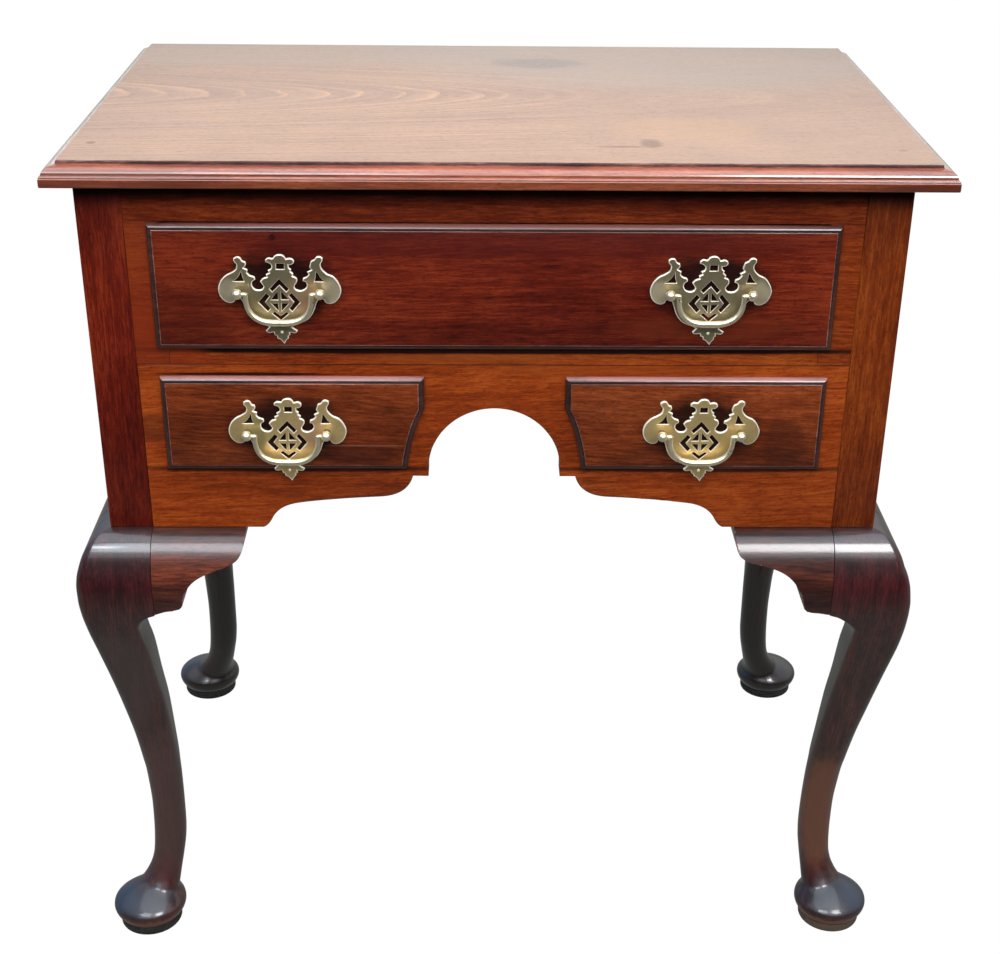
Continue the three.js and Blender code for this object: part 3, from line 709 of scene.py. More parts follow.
def add_sheet(shape: Mesh, loops: Sequence[Sequence[Point]], front: float, back: float) -> list[bmesh.types.BMFace]:
    """Cuts a board to an outline with its openings.

    Args:
        shape: the mesh to add to.
        loops: the outline and each opening, as (x, z).
        front, back: the y of its two faces.

    Returns:
        The faces of its front.
    """
    edges = []
    for loop in loops:
        verts = [shape.verts.new((x, back, z)) for x, z in loop]
        edges += [shape.edges.new((verts[i - 1], verts[i])) for i in range(len(verts))]
    filled = bmesh.ops.triangle_fill(shape, use_beauty=True, edges=edges, normal=(0, -1, 0))
    faces = [item for item in filled["geom"] if isinstance(item, bmesh.types.BMFace)]
    raised = bmesh.ops.extrude_face_region(shape, geom=faces)["geom"]
    verts = [item for item in raised if isinstance(item, bmesh.types.BMVert)]
    bmesh.ops.translate(shape, vec=(0, front - back, 0), verts=verts)
    return [item for item in raised if isinstance(item, bmesh.types.BMFace)]


def drawn_in(loop: Sequence[Point], width: float) -> list[Point]:
    """Moves a closed line to its left, with its mitres kept short.

    Args:
        loop: the line's points.
        width: how far it moves.

    Returns:
        As many points as before.
    """
    moved = []
    for i, point in enumerate(loop):
        here = Vector(point)
        arrive = (here - Vector(loop[i - 1])).normalized()
        leave = (Vector(loop[(i + 1) % len(loop)]) - here).normalized()
        across = Vector((-arrive.y - leave.y, arrive.x + leave.x)).normalized()
        mitre = max(across.dot(Vector((-arrive.y, arrive.x))), 0.65)
        moved.append(tuple(here + across * (width / mitre)))
    return moved


def add_filed_sheet(shape: Mesh, loops: Sequence[Sequence[Point]], depths: Sequence[float], width: float) -> None:
    """Cuts a thin plate whose front edges are filed to a bevel.

    The bevel and the outer wall get the second finish and the walls of the openings the third.

    Args:
        shape: the mesh to add to.
        loops: the outline and each opening, as (x, z).
        depths: the y of its face, of its bevel's foot and of its back.
        width: how far the bevel reaches in from the outline, and half as far from the openings.
    """
    turned = []
    for k, loop in enumerate(loops):
        area = sum(loop[i - 1][0] * z - x * loop[i - 1][1] for i, (x, z) in enumerate(loop))
        turned.append(list(loop) if (area > 0) == (k == 0) else list(reversed(loop)))
    starts, edges = [], []
    for loop in turned:
        line = drawn_in(loop, width / 2 if starts else width)
        verts = [shape.verts.new((x, depths[0], z)) for x, z in line]
        edges += [shape.edges.new((verts[i - 1], verts[i])) for i in range(len(verts))]
        starts += verts
    bmesh.ops.triangle_fill(shape, use_beauty=True, edges=edges, normal=(0, -1, 0))
    places = [point for loop in turned for point in loop]
    outer = {tuple(round(v, 3) for v in point) for point in turned[0]}
    for depth in depths[1:]:
        made = bmesh.ops.extrude_edge_only(shape, edges=edges)["geom"]
        fresh = {item for item in made if isinstance(item, bmesh.types.BMVert)}
        edges = [e for e in made if isinstance(e, bmesh.types.BMEdge) and set(e.verts) <= fresh]
        starts = [next(e.other_vert(v) for e in v.link_edges if e.other_vert(v) in fresh) for v in starts]
        for vert, (x, z) in zip(starts, places):
            vert.co = (x, depth, z)
        for face in (item for item in made if isinstance(item, bmesh.types.BMFace)):
            outside = any((round(v.co.x, 3), round(v.co.z, 3)) in outer for v in face.verts)
            face.material_index = 1 if outside or depth < depths[-1] else 2
    bmesh.ops.triangle_fill(shape, use_beauty=True, edges=edges, normal=(0, 1, 0))


def soften_front(
    shape: Mesh, faces: Sequence[bmesh.types.BMFace], width: float, depth: float, material: int = 0
) -> list[bmesh.types.BMFace]:
    """Files a narrow bevel round the edges of a front.

    Args:
        shape: the mesh.
        faces: the faces of the front.
        width: how far the bevel reaches into the face.
        depth: how far it falls back.
        material: the finish of the bevel.

    Returns:
        The bevel's faces.
    """
    verts = {vert for face in faces for vert in face.verts}
    wall = [v for v in verts if any(f not in faces for f in v.link_faces)]
    places = [v.co.copy() for v in wall]
    rim = bmesh.ops.inset_region(
        shape, faces=list(faces), thickness=width, depth=0.0, use_even_offset=True, use_boundary=True
    )["faces"]
    for vert, place in zip(wall, places):
        vert.co = place + Vector((0, depth, 0))
    for face in rim:
        face.material_index = material
    return rim


def lathe(shape: Mesh, profile: Sequence[Point], centre: Sequence[float], steps: int) -> None:
    """Turns a profile round an axis that runs front to back.

    Args:
        shape: the mesh to add to.
        profile: pairs of radius and y, ends on the axis.
        centre: the axis's place.
        steps: how many faces go round.
    """
    verts = [shape.verts.new((centre[0] + r, centre[1] + y, centre[2])) for r, y in profile]
    edges = [shape.edges.new((verts[i], verts[i + 1])) for i in range(len(verts) - 1)]
    bmesh.ops.spin(
        shape, geom=verts + edges, cent=centre, axis=(0, 1, 0), angle=2 * math.pi, steps=steps, use_merge=True
    )
    bmesh.ops.remove_doubles(shape, verts=shape.verts, dist=0.001)


# The pieces


@dataclass
class Finishes:
    """Every finish on the lowboy.

    Attributes:
        effects: the shared groups.
        made: the materials that were made so far, by name.
    """

    effects: Effects = field(default_factory=Effects)
    made: dict[str, bpy.types.Material] = field(default_factory=dict)

    def get(self, finish: Wood | Brass) -> bpy.types.Material:
        """The material of a finish, made when it is first asked for."""
        if finish.name not in self.made:
            self.made[finish.name] = finish.make(self.effects)
        return self.made[finish.name]


FADED = Wood(
    "Faded top", shade(128, 98, 80), shade(146, 115, 94), shade(170, 130, 100), Run.ACROSS,
    heart=0.0, depth=-0.529, slant=0.06, rings=340.0, lines=520.0, waver=0.004, figure=0.46, streak=0.12, fibre=0.4,
    drift=0.2, pores=0.4, rough=0.36, coat=(0.5, 0.22), gloss=0.5, figure_ends=(-0.02, 0.12),
    marks=(
        Mark((170, 160, 729), (280, 150, 30), shade(140, 126, 114), 0.5, 0.5, 9.0),
        Mark((-200, 190, 729), (300, 92, 30), shade(142, 124, 110), 0.5, 0.5, 11.0),
        Mark((42, 124, 729), (46, 22, 6), shade(108, 100, 92), 0.5, 0.8, 30.0),
        Mark((120, -152, 729), (9, 14, 6), shade(84, 62, 50), 0.5, 0.8, 90.0),
        Mark((97, -162, 729), (22, 3, 6), shade(84, 60, 48), 0.45, 0.8, 90.0),
        Mark((150, -110, 729), (66, 40, 6), shade(160, 124, 90), 0.35, 0.9, 30.0),
        Mark((-309, -158, 729), (4, 4, 4), shade(96, 60, 44), 0.6, 0.3, 200.0),
        Mark((312, -168, 729), (4, 4, 4), shade(110, 76, 58), 0.5, 0.3, 200.0),
    ),
)
TOP_EDGE = Wood(
    "Top moulding", shade(100, 42, 22), shade(148, 72, 42), shade(180, 104, 66), Run.ACROSS,
    streak=0.4, fibre=0.5, rough=0.3, coat=(1.0, 0.12), gloss=0.5,
    marks=(
        # Painted shade: the first two marks darken the moulding's left end, where its highlight is weaker, and thin its
        # coat.
        Mark((-290, -215, 721), (80, 14, 4), shade(120, 66, 46), 0.9, 0.6, 20.0),
        Mark((-300, -210, 713.5), (130, 30, 3.4), shade(100, 38, 18), 0.6, 0.4, 20.0),
        Mark((330, -210, 713.5), (60, 30, 3.4), shade(84, 28, 10), 0.7, 0.4, 20.0),
    ),
)
# Painted shade: a darker, greyer wood for the narrow fillet under the top's edge.
QUIRK = Wood(
    "Fillet in painted shade", shade(56, 32, 30), shade(96, 58, 52), shade(146, 100, 88), rough=0.5, coat=(0.1, 0.3), gloss=0.1,
    streak=1.0,
)
# Painted highlight: the top's side mouldings are made lighter and greyer, as lit at a grazing angle.
SIDE_SHEEN = Wood(
    "Side mouldings with painted sheen", shade(120, 104, 92), shade(150, 132, 118), shade(176, 158, 142), Run.DEEP, rough=0.4,
    coat=(0.6, 0.2), gloss=0.5,
)
# Painted shadow: a height tint that darkens the rails and posts to near black just under the top's overhang.
PAINTED_TOP_SHADOW = (
    (0.0, (1.0, 1.0, 1.0, 1.0)), (0.688, (1.0, 1.0, 1.0, 1.0)), (0.696, (0.4, 0.34, 0.36, 1.0)),
    (0.7, (0.06, 0.08, 0.11, 1.0)), (0.711, (0.02, 0.05, 0.08, 1.0)),
)


def painted_lip_shadow(x: float, z: float, half: float, share: float) -> Mark:
    """Painted shadow: a dark band under a drawer's lip, where the lip casts its shadow."""
    return Mark((x, -HALF_DEPTH, z), (half * 1.5, 3, 3.4), shade(14, 6, 4), share, 0.2, 90.0)


# The rails take the painted shadow under the top.
RAIL = Wood("Rails", shade(79, 21, 9), shade(128, 46, 17), shade(172, 75, 28), shift=(0, 0, 0.13), heights=PAINTED_TOP_SHADOW)
BLADE = Wood(
    "Blade", shade(104, 34, 7), shade(155, 61, 15), shade(192, 94, 29), shift=(0, 0, 0.31), tilt=-1.5,
    marks=(
        # The first mark is painted shadow under the long drawer's lip.
        painted_lip_shadow(0, 573.2, 266, 0.95), Mark((-30, -192.5, 566), (90, 4, 5), shade(168, 82, 26), 0.4, 0.8, 25.0),
        Mark((-262, -192.5, 566), (44, 4, 14), shade(146, 46, 14), 0.55, 0.8, 30.0),
    ),
)
APRON = Wood(
    "Apron", shade(104, 36, 7), shade(152, 60, 14), shade(187, 88, 27), shift=(0.4, 0, 0.2), tilt=3.0,
    marks=(
        Mark((-276, -192, 505), (22, 4, 14), shade(60, 24, 12), 0.5, 0.8, 60.0),
        Mark((90, -192, 556), (90, 4, 8), shade(150, 66, 18), 0.4, 0.8, 30.0),
        Mark((274, -192.5, 541), (12, 3, 0.5), shade(40, 14, 8), 0.7, 0.2, 60.0),
        Mark((-253, -192.5, 560.4), (34, 3, 0.7), shade(128, 84, 66), 0.6, 0.4, 60.0),
        # Painted shadow: a dark line above the left short drawer's lip, and dark bands under both short drawers' lips.
        Mark((-200, -192.5, 552.6), (78, 3, 1.6), shade(16, 6, 5), 0.9, 0.3, 60.0),
        painted_lip_shadow(-168, 469, 98, 0.8), painted_lip_shadow(168, 469, 98, 0.8),
    ),
)
JAMB = Wood(
    "Jambs", shade(96, 30, 7), shade(140, 54, 14), shade(176, 82, 26), shift=(0, 0, 0.31), tilt=-1.5,
    marks=(
        # The first mark is painted shadow under the long drawer's lip.
        painted_lip_shadow(0, 573.2, 266, 0.95), Mark((-276, -192, 640), (40, 4, 70), shade(120, 32, 12), 0.55, 0.8, 30.0),
        Mark((-276, -192, 570), (44, 4, 44), shade(146, 48, 14), 0.55, 0.8, 30.0),
    ),
)
PANEL = Wood("Side panels", shade(84, 30, 8), shade(120, 48, 15), shade(150, 70, 26), Run.DEEP, shift=(0.2, 0, 0.4))
# Both posts take the painted shadow under the top.
STILE_LEFT = Wood(
    "Left posts", shade(66, 12, 6), shade(107, 27, 11), shade(144, 51, 21), Run.UPRIGHT, shift=(0, 0, 1.1),
    heights=PAINTED_TOP_SHADOW,
)
STILE_RIGHT = Wood(
    "Right posts", shade(84, 26, 6), shade(124, 49, 11), shade(158, 74, 22), Run.UPRIGHT, shift=(0, 0, 1.9),
    heights=PAINTED_TOP_SHADOW,
)


def dirt_and_shade_behind_brass(x: float, z: float) -> Mark:
    """Old polish and dirt round a handle's plate, with painted shade that darkens its piercings and the wood beside its
    edges.
    """
    return Mark((x, DRAWER_FACE, z + 1), (50, 5, 31), shade(10, 5, 4), 0.9, 0.5, 60.0)


FRONT = Wood(
    "Drawer fronts", shade(63, 14, 7), shade(106, 31, 14), shade(144, 54, 23), shift=(0.9, 0, 0.5), tilt=1.0,
    marks=(
        # Dirt and painted shade behind the handles.
        dirt_and_shade_behind_brass(-166.5, 627), dirt_and_shade_behind_brass(166.5, 627),
        Mark((-170, DRAWER_FACE, 668), (2.8, 3, 2.8), shade(10, 4, 3), 1.0, 0.3, 200.0),
        Mark((0, DRAWER_FACE, 664), (280, 4, 14), shade(78, 12, 8), 0.45, 0.8, 20.0),
        Mark((-250, DRAWER_FACE, 600), (50, 4, 40), shade(64, 18, 8), 0.4, 0.8, 30.0),
        Mark((170, DRAWER_FACE, 596), (80, 4, 12), shade(128, 50, 20), 0.4, 0.8, 25.0),
    ),
)
FRONT_SHORT = Wood(
    "Short drawer fronts", shade(73, 26, 9), shade(120, 50, 19), shade(156, 76, 35), shift=(1.3, 0, 0.8), tilt=-2.5,
    marks=(
        # Dirt and painted shade behind the handles.
        dirt_and_shade_behind_brass(-166.5, 507), dirt_and_shade_behind_brass(166.5, 507),
        Mark((-104, DRAWER_FACE, 493), (34, 3, 0.9), shade(150, 96, 70), 0.5, 0.5, 40.0),
        Mark((-110, DRAWER_FACE, 485), (40, 3, 9), shade(56, 18, 12), 0.6, 0.7, 50.0),
        Mark((235, DRAWER_FACE, 495), (20, 3, 24), shade(60, 24, 12), 0.5, 0.8, 50.0),
    ),
)
LIP = Wood(
    "Drawer lips", shade(34, 16, 12), shade(60, 31, 24), shade(94, 52, 42), rough=0.4, coat=(0.9, 0.16), gloss=0.3,
    marks=(
        # Painted highlight: the drawers' top lips are lightened to a pinkish sheen.
        Mark((0, -197, 676.6), (300, 8, 2.2), shade(168, 104, 94), 0.75, 0.5, 60.0),
        *(Mark((side * 161, -197, 551.2), (130, 8, 2.2), shade(180, 116, 106), 0.85, 0.5, 60.0) for side in (LEFT, RIGHT)),
    ),
)
# Painted highlight: a pale finish for the thin arris round each drawer's face.
LIP_ARRIS = Wood(
    "Arrises with painted highlight", shade(96, 54, 44), shade(140, 92, 78), shade(186, 142, 126), rough=0.4, coat=(0.5, 0.2),
    gloss=0.3, streak=1.2,
)
LEG = Wood(
    "Legs", shade(26, 13, 10), shade(52, 25, 19), shade(86, 42, 32), Run.UPRIGHT, shift=(0, 0, 2.3),
    figure=0.2, streak=0.5, fibre=0.6, rough=0.36, coat=(0.9, 0.13), gloss=0.45,
    heights=(
        (0.0, (1.0, 1.0, 1.0, 1.0)), (0.024, (1.1, 0.9, 1.0, 1.0)), (0.1, (1.1, 1.0, 1.0, 1.0)),
        (0.3, (0.9, 0.8, 0.8, 1.0)), (0.345, (0.9, 0.6, 0.7, 1.0)), (0.375, (1.1, 0.45, 0.85, 1.0)),
        (0.39, (0.8, 0.5, 0.8, 1.0)), (0.4146, (0.6, 0.6, 0.7, 1.0)),
    ),
    marks=(
        *(Mark((side * 320.3, -194.3, 13), (85, 85, 6.5), shade(120, 60, 38), 0.85, 1.6, 160.0) for side in (LEFT, RIGHT)),
        # Painted reflection: dark blue-grey and steel-blue patches on the front feet's domes stand for reflected sky.
        *(Mark((side * 326, -208, 30), (38, 34, 12), shade(24, 30, 38), 0.8, 0.7, 50.0) for side in (LEFT, RIGHT)),
        *(Mark((side * 340, -200, 26), (22, 22, 14), shade(34, 48, 66), 0.55, 0.9, 50.0) for side in (LEFT, RIGHT)),
        *(Mark((side * 302, -196, 55), (10, 18, 16), shade(62, 8, 8), 0.85, 0.8, 60.0) for side in (LEFT, RIGHT)),
        Mark((303, -188, 115), (24, 22, 70), shade(126, 74, 46), 0.55, 0.8, 50.0),
        Mark((-300, -188, 130), (30, 22, 90), shade(84, 58, 52), 0.5, 0.8, 40.0),
        Mark((-322, -210, 270), (40, 30, 70), shade(66, 54, 50), 0.5, 0.8, 30.0),
    ),
)
# Painted shade: the rear legs take a darker copy of the front legs' wood.
REAR_LEG = Wood(
    "Rear legs", shade(14, 10, 10), shade(28, 18, 16), shade(48, 28, 22), Run.UPRIGHT, shift=(0, 0, 2.7),
    figure=0.2, streak=0.5, fibre=0.4, rough=0.3, coat=(1.0, 0.1), gloss=0.4,
)
FOOT_DISC = Wood(
    "Foot discs", shade(24, 24, 22), shade(44, 44, 40), shade(76, 68, 56), rough=0.55, coat=(0.1, 0.4), gloss=0.3,
    marks=(Mark((322, -200, 4), (60, 60, 8), shade(112, 92, 74), 0.7, 0.9, 60.0),),
)
BRACKET = Wood(
    "Knee brackets", shade(36, 14, 10), shade(72, 31, 20), shade(116, 54, 34), Run.ACROSS, shift=(0, 0, 3.1),
    streak=0.6, rough=0.36, coat=(0.75, 0.16), gloss=0.4,
    # Painted light and shade: a lighter band across the bracket's upper curve, darker above it and towards its foot.
    heights=(
        (0.34, (0.6, 0.6, 0.7, 1.0)), (0.365, (0.8, 0.8, 0.8, 1.0)), (0.385, (1.5, 1.3, 1.1, 1.0)),
        (0.398, (1.1, 1.1, 1.1, 1.0)), (0.406, (0.5, 0.5, 0.5, 1.0)), (0.4146, (0.4, 0.45, 0.5, 1.0)),
    ),
)
# Painted highlight: a pale finish for the filed edges of the apron and the knee brackets.
EDGE_HIGHLIGHT = Wood(
    "Edges with painted highlight", shade(70, 40, 34), shade(112, 72, 62), shade(160, 120, 108), rough=0.5, coat=(0.1, 0.3), gloss=0.1,
)
OAK = Wood(
    "Oak linings", shade(120, 84, 50), shade(160, 120, 78), shade(186, 150, 106), Run.DEEP, figure=0.5, fibre=0.5,
    pores=0.4, rough=0.62, coat=(0.0, 0.3), gloss=0.3, relief=0.0001,
)
OAK_WIDE = Wood(
    "Oak boards", shade(98, 66, 38), shade(140, 102, 64), shade(166, 130, 88), Run.ACROSS, figure=0.55, fibre=0.5,
    pores=0.4, rough=0.65, coat=(0.0, 0.3), gloss=0.3, relief=0.0001,
)


def blush(x: float, z: float) -> Mark:
    """The copper cast at a plate's lower right."""
    return Mark((x + 17, -201, z - 5), (14, 6, 16), shade(232, 184, 140), 0.7, 0.5, 60.0)


OLIVE_PLATE = Brass(
    "Tarnished brass plates", shade(172, 158, 122), shade(118, 108, 84), metal=0.8, rough=0.36, tarnish=0.55,
    marks=(
        *(Mark((x + 40 * side, -201, 624), (9, 6, 12), shade(250, 230, 190), 0.7, 0.8, 60.0)
          for x in (-166.5, 166.5) for side in (LEFT, RIGHT)),
        blush(-166.5, 628), Mark((-183, -201, 610), (16, 6, 9), shade(190, 172, 124), 0.5, 0.8, 60.0),
    ),
)
GOLDEN_PLATE = Brass(
    "Rubbed brass plates", shade(236, 204, 138), shade(176, 148, 98), metal=0.75, rough=0.36, tarnish=0.4,
    marks=(Mark((-192, -201, 505), (9, 6, 20), shade(140, 140, 96), 0.6, 0.8, 60.0), blush(-166.5, 511)),
)
# Brighter filed brass, with a painted highlight: a pale, barely metallic finish for the plates' filed edges and pin
# heads.
PLATE_RIM = Brass(
    "Filed brass edges with painted highlight", shade(255, 242, 218), shade(236, 220, 190), metal=0.2, rough=0.4, tarnish=0.2, relief=0.00003,
)
# Painted shade: a darker brass for the walls of the piercings and the backs of the posts.
SHADED_BRASS = Brass("Brass in painted shade", shade(150, 132, 96), shade(80, 70, 52), metal=0.5, rough=0.5, tarnish=0.6)
CAST = Brass(
    "Cast brass", shade(255, 242, 206), shade(226, 206, 160), metal=0.85, rough=0.27, tarnish=0.0, relief=0.000004,
)
IRON = Brass("Iron nails", shade(70, 62, 56), shade(44, 34, 28), metal=0.6, rough=0.6, tarnish=0.8)


@dataclass
class Top:
    """The moulded top board.

    Attributes:
        half_width: half its width.
        front, back: the y of its edges.
        underside: its lower face.
        shift: how far to the right the board was fixed.
        moulding: the edge's profile, as pairs of how far in and how far up.
    """

    half_width: float = 341.5
    front: float = -217.5
    back: float = 197.5
    underside: float = 710.5
    shift: float = 4.2
    moulding: tuple[Point, ...] = (
        (1.2, 0.0), (0.3, 0.4), (0.0, 1.3), (0.0, 6.5), (0.5, 7.1), (0.4, 7.8), (1.0, 8.6), (1.9, 8.9), (2.1, 9.6),
        (2.3, 10.9), (2.9, 12.1), (4.0, 13.2), (5.4, 14.1), (7.0, 14.7), (8.8, 15.1), (11.0, 15.3), (11.4, 15.8),
        (11.6, 17.2), (12.0, 18.1), (12.8, 18.5),
    )

    def build(self, finishes: Finishes) -> None:
        """Raises the board step by step through its moulding."""
        shape = bmesh.new()
        first = bmesh.ops.create_grid(shape, x_segments=1, y_segments=1, size=1.0)["verts"]
        self._level(first, self.moulding[0])
        face = shape.faces[:]
        for step in self.moulding[1:]:
            raised = bmesh.ops.extrude_face_region(shape, geom=face)["geom"]
            verts = [item for item in raised if isinstance(item, bmesh.types.BMVert)]
            face = [item for item in raised if isinstance(item, bmesh.types.BMFace)]
            self._level(verts, step)
        shape.normal_update()
        for each in shape.faces:
            low = min(vert.co.z for vert in each.verts) - self.underside
            ahead = abs(each.normal.x) < 0.01
            part = 2 if low > 15.2 and ahead else 1 if ahead or low < 6.0 else 3
            each.material_index = 0 if each in face or low > 18 else part
        materials = [finishes.get(finish) for finish in (FADED, TOP_EDGE, QUIRK, SIDE_SHEEN)]
        put("top_board", shape, "case", materials, ["top"], 28.0)

    def _level(self, verts: Sequence[bmesh.types.BMVert], step: Point) -> None:
        """Sets a rectangle's four corners at one step of the moulding."""
        inset, rise = step
        for vert in verts:
            right, ahead = vert.co.x > 0, vert.co.y < 0
            vert.co.x = self.shift + (1 if right else -1) * (self.half_width - inset)
            vert.co.y = self.front + inset if ahead else self.back
            vert.co.z = self.underside + rise


@dataclass
class Leg:
    """A cabriole leg with its corner post, from the pad foot to the top.

    Attributes:
        name: the CAD node's name.
        side: LEFT or RIGHT.
        front: whether it is a front leg.
        sweep: how far the leg leans outwards by height, sideways only.
    """

    name: str
    side: int
    front: bool
    sweep: Column
    outer: Column = Column((
        (415, 0.2), (413.5, 6), (411, 10.8), (407, 15.4), (402, 19.3), (396, 22.6), (388, 25.5), (379, 27.9),
        (368, 29), (357, 28.9), (345, 27.9), (328, 25.2), (300, 19.3), (266, 12.3), (235, 6.7), (200, 1.1),
        (168, -2.4), (145, -4.1), (119, -5.2), (95, -4.8), (78, -4), (64, -2.6), (54, 0), (44, 5), (34, 12.4),
        (26, 17.6), (18, 19),
    ))
    inner: Column = Column((
        (345, -35), (344, -31.5), (341, -27.4), (335, -22.2), (328, -19.6), (318, -20.4), (300, -23.8),
        (266, -27.2), (235, -30.5), (200, -32.6), (168, -34.2), (145, -34.6), (119, -34.5), (95, -34.2),
        (78, -33), (64, -30.8), (54, -29), (44, -27.2), (34, -25.6), (26, -24), (18, -21.5),
    ))
    outer_round: Column = Column(((415, 0.6), (404, 5), (388, 8), (345, 8.5), (300, 9), (235, 11), (168, 14), (145, 30)))
    side_round: Column = Column((
        (415, 0.6), (345, 0.8), (341, 3.5), (328, 5.5), (300, 7.5), (235, 11), (168, 14), (145, 30),
    ))
    inner_round: Column = Column(((415, 0.6), (345, 0.8), (341, 5), (328, 10), (300, 12), (235, 13), (168, 15), (145, 30)))
    foot: Column = Column((
        (38, 0), (37, 6), (35, 12.5), (32.4, 18.6), (29.6, 23.8), (26.8, 28), (24.2, 31), (21.6, 32.7), (18.8, 33.1),
        (15.2, 32.3), (11.4, 30.2), (8.4, 28),
    ))
    foot_centre: float = 1.8
    foot_top: float = 38.0
    foot_widest: float = 18.8
    blend_from: float = 60.0
    fillet: float = 10.5
    pad_top: float = 8.4
    pad: tuple[Point, ...] = ((8.0, 27.8), (7.6, 28.0), (1.0, 28.0), (0.3, 27.7), (0.0, 27.0))
    arc: int = 14

    def heights(self) -> list[float]:
        """The heights of the leg's rings, closer where it curves more."""
        knee = [CASE_BOTTOM - 0.05 - 0.35 * k**1.6 for k in range(18)]
        bends = [(knee[-1], 347, 12), (347, 318, 14), (318, 100, 34), (100, 60, 12), (60, self.pad_top, 44)]
        levels = knee[:-1]
        for start, end, count in bends:
            levels += [start + (end - start) * k / count for k in range(count)]
        return levels + [self.pad_top]

    def ring(self, height: float) -> list[Point]:
        """The outline of the leg at a height, outwards from the case's corner.

        Args:
            height: the height in millimetres.

        Returns:
            Points round the section, always as many and in the same order.
        """
        lean = self.sweep.at(height)
        follow = lean * min(max((KNEE_BOTTOM - height) / 20, 0.0), 1.0)
        out_x, out_y = self.outer.at(height) + lean, self.outer.at(height)
        in_x, in_y = self.inner.at(height) + follow, self.inner.at(height)
        half_x, half_y = (out_x - in_x) / 2, (out_y - in_y) / 2
        centre = Vector(((out_x + in_x) / 2, (out_y + in_y) / 2))
        cap = min(half_x, half_y) - 0.01
        rounds = (self.outer_round, self.side_round, self.inner_round, self.side_round)
        points = []
        for k, (sign_x, sign_y) in enumerate(((1, 1), (-1, 1), (-1, -1), (1, -1))):
            radius = min(rounds[k].at(height), cap)
            corner = centre + Vector((sign_x * (half_x - radius), sign_y * (half_y - radius)))
            for j in range(self.arc):
                turn = (k + (j + 0.5) / self.arc) * math.pi / 2
                way = Vector((math.cos(turn), math.sin(turn)))
                if height > self.blend_from:
                    points.append(tuple(corner + way * radius))
                else:
                    points.append(self._foot_point(height, centre, (half_x, half_y), way))
        return points

    def _foot_point(self, height: float, centre: Vector, half: Point, way: Vector) -> Point:
        """Where the shaft running into the foot's dome ends, in one direction."""
        dome = Vector((self.foot_centre, self.foot_centre))
        share = ease((54 - height) / (54 - self.foot_widest - 6))
        start = centre.lerp(dome, share)
        reach = self._reach(start - centre, way, half)
        radius = self.foot.at(height)
        if height < self.foot_top:
            disc = self._reach(start - dome, way, (radius, radius)) if radius > 0.5 else 0.0
            reach = soft_max(reach, disc, self.fillet) if height > self.foot_widest else disc
        return tuple(start + way * reach)

    @staticmethod
    def _reach(offset: Vector, way: Vector, half: Point) -> float:
        """How far an oval's edge is from a point inside it, in one direction."""
        stretched = Vector((offset.x / half[0], offset.y / half[1]))
        step = Vector((way.x / half[0], way.y / half[1]))
        a, b, c = step.dot(step), stretched.dot(step), stretched.dot(stretched) - 1
        inside = b * b - a * c
        return (-b + math.copysign(math.sqrt(abs(inside)), inside)) / a

    def build(self, finishes: Finishes) -> None:
        """Extrudes the leg ring by ring, and adds its post."""
        shape = bmesh.new()
        levels = [(z, self.ring(z)) for z in self.heights()]
        dome = (self.foot_centre, self.foot_centre)
        for z, radius in self.pad:
            round_ring = []
            for k in range(4 * self.arc):
                turn = (k + 0.5) / self.arc * math.pi / 2
                round_ring.append((dome[0] + radius * math.cos(turn), dome[1] + radius * math.sin(turn)))
            levels.append((z, round_ring))
        count = 4 * self.arc
        verts = bmesh.ops.create_circle(shape, segments=count, radius=1.0, cap_ends=False)["verts"]
        edges = [e for e in shape.edges]
        order = self._ordered(verts)
        self._set(order, levels[0])
        first = order
        for level in levels[1:]:
            made = bmesh.ops.extrude_edge_only(shape, edges=edges)["geom"]
            edges = [item for item in made if isinstance(item, bmesh.types.BMEdge)]
            fresh = {item for item in made if isinstance(item, bmesh.types.BMVert)}
            edges = [e for e in edges if e.verts[0] in fresh and e.verts[1] in fresh]
            order = [next(e.other_vert(v) for e in v.link_edges if e.other_vert(v) in fresh) for v in order]
            self._set(order, level)
        bmesh.ops.contextual_create(shape, geom=order)
        bmesh.ops.contextual_create(shape, geom=first)
        low = self._place((-POST, -POST), CASE_BOTTOM + 0.2)
        high = self._place((0.0, 0.0), CASE_TOP)
        corners = [[min(a, b) for a, b in zip(low, high)], [max(a, b) for a, b in zip(low, high)]]
        before = set(shape.faces)
        add_block(shape, corners[0], corners[1], 0.35)
        for face in shape.faces:
            disc = max(vert.co.z for vert in face.verts) < self.pad_top + 0.1
            face.material_index = 1 if face not in before else 2 if disc else 0
        wood = finishes.get(LEG if self.front else REAR_LEG)
        post = finishes.get(STILE_LEFT if self.side == LEFT else STILE_RIGHT)
        materials = [wood, post, finishes.get(FOOT_DISC)]
        put(f"{self.name}_carved", shape, "case", materials, [self.name], 40.0)

    @staticmethod
    def _ordered(verts: Sequence[bmesh.types.BMVert]) -> list[bmesh.types.BMVert]:
        """A circle's vertices in the order of their turn."""
        return sorted(verts, key=lambda v: math.atan2(v.co.y, v.co.x) % (2 * math.pi))

    def _place(self, point: Point, height: float) -> tuple[float, float, float]:
        """A point of a ring, placed on this leg's corner of the case."""
        ahead = -1 if self.front else 1
        return (self.side * (HALF_WIDTH + point[0]), ahead * (HALF_DEPTH + point[1]), height)

    def _set(self, verts: Sequence[bmesh.types.BMVert], level: tuple[float, list[Point]]) -> None:
        """Moves a ring's vertices to their places."""
        height, points = level
        for vert, point in zip(verts, points):
            vert.co = self._place(point, height)


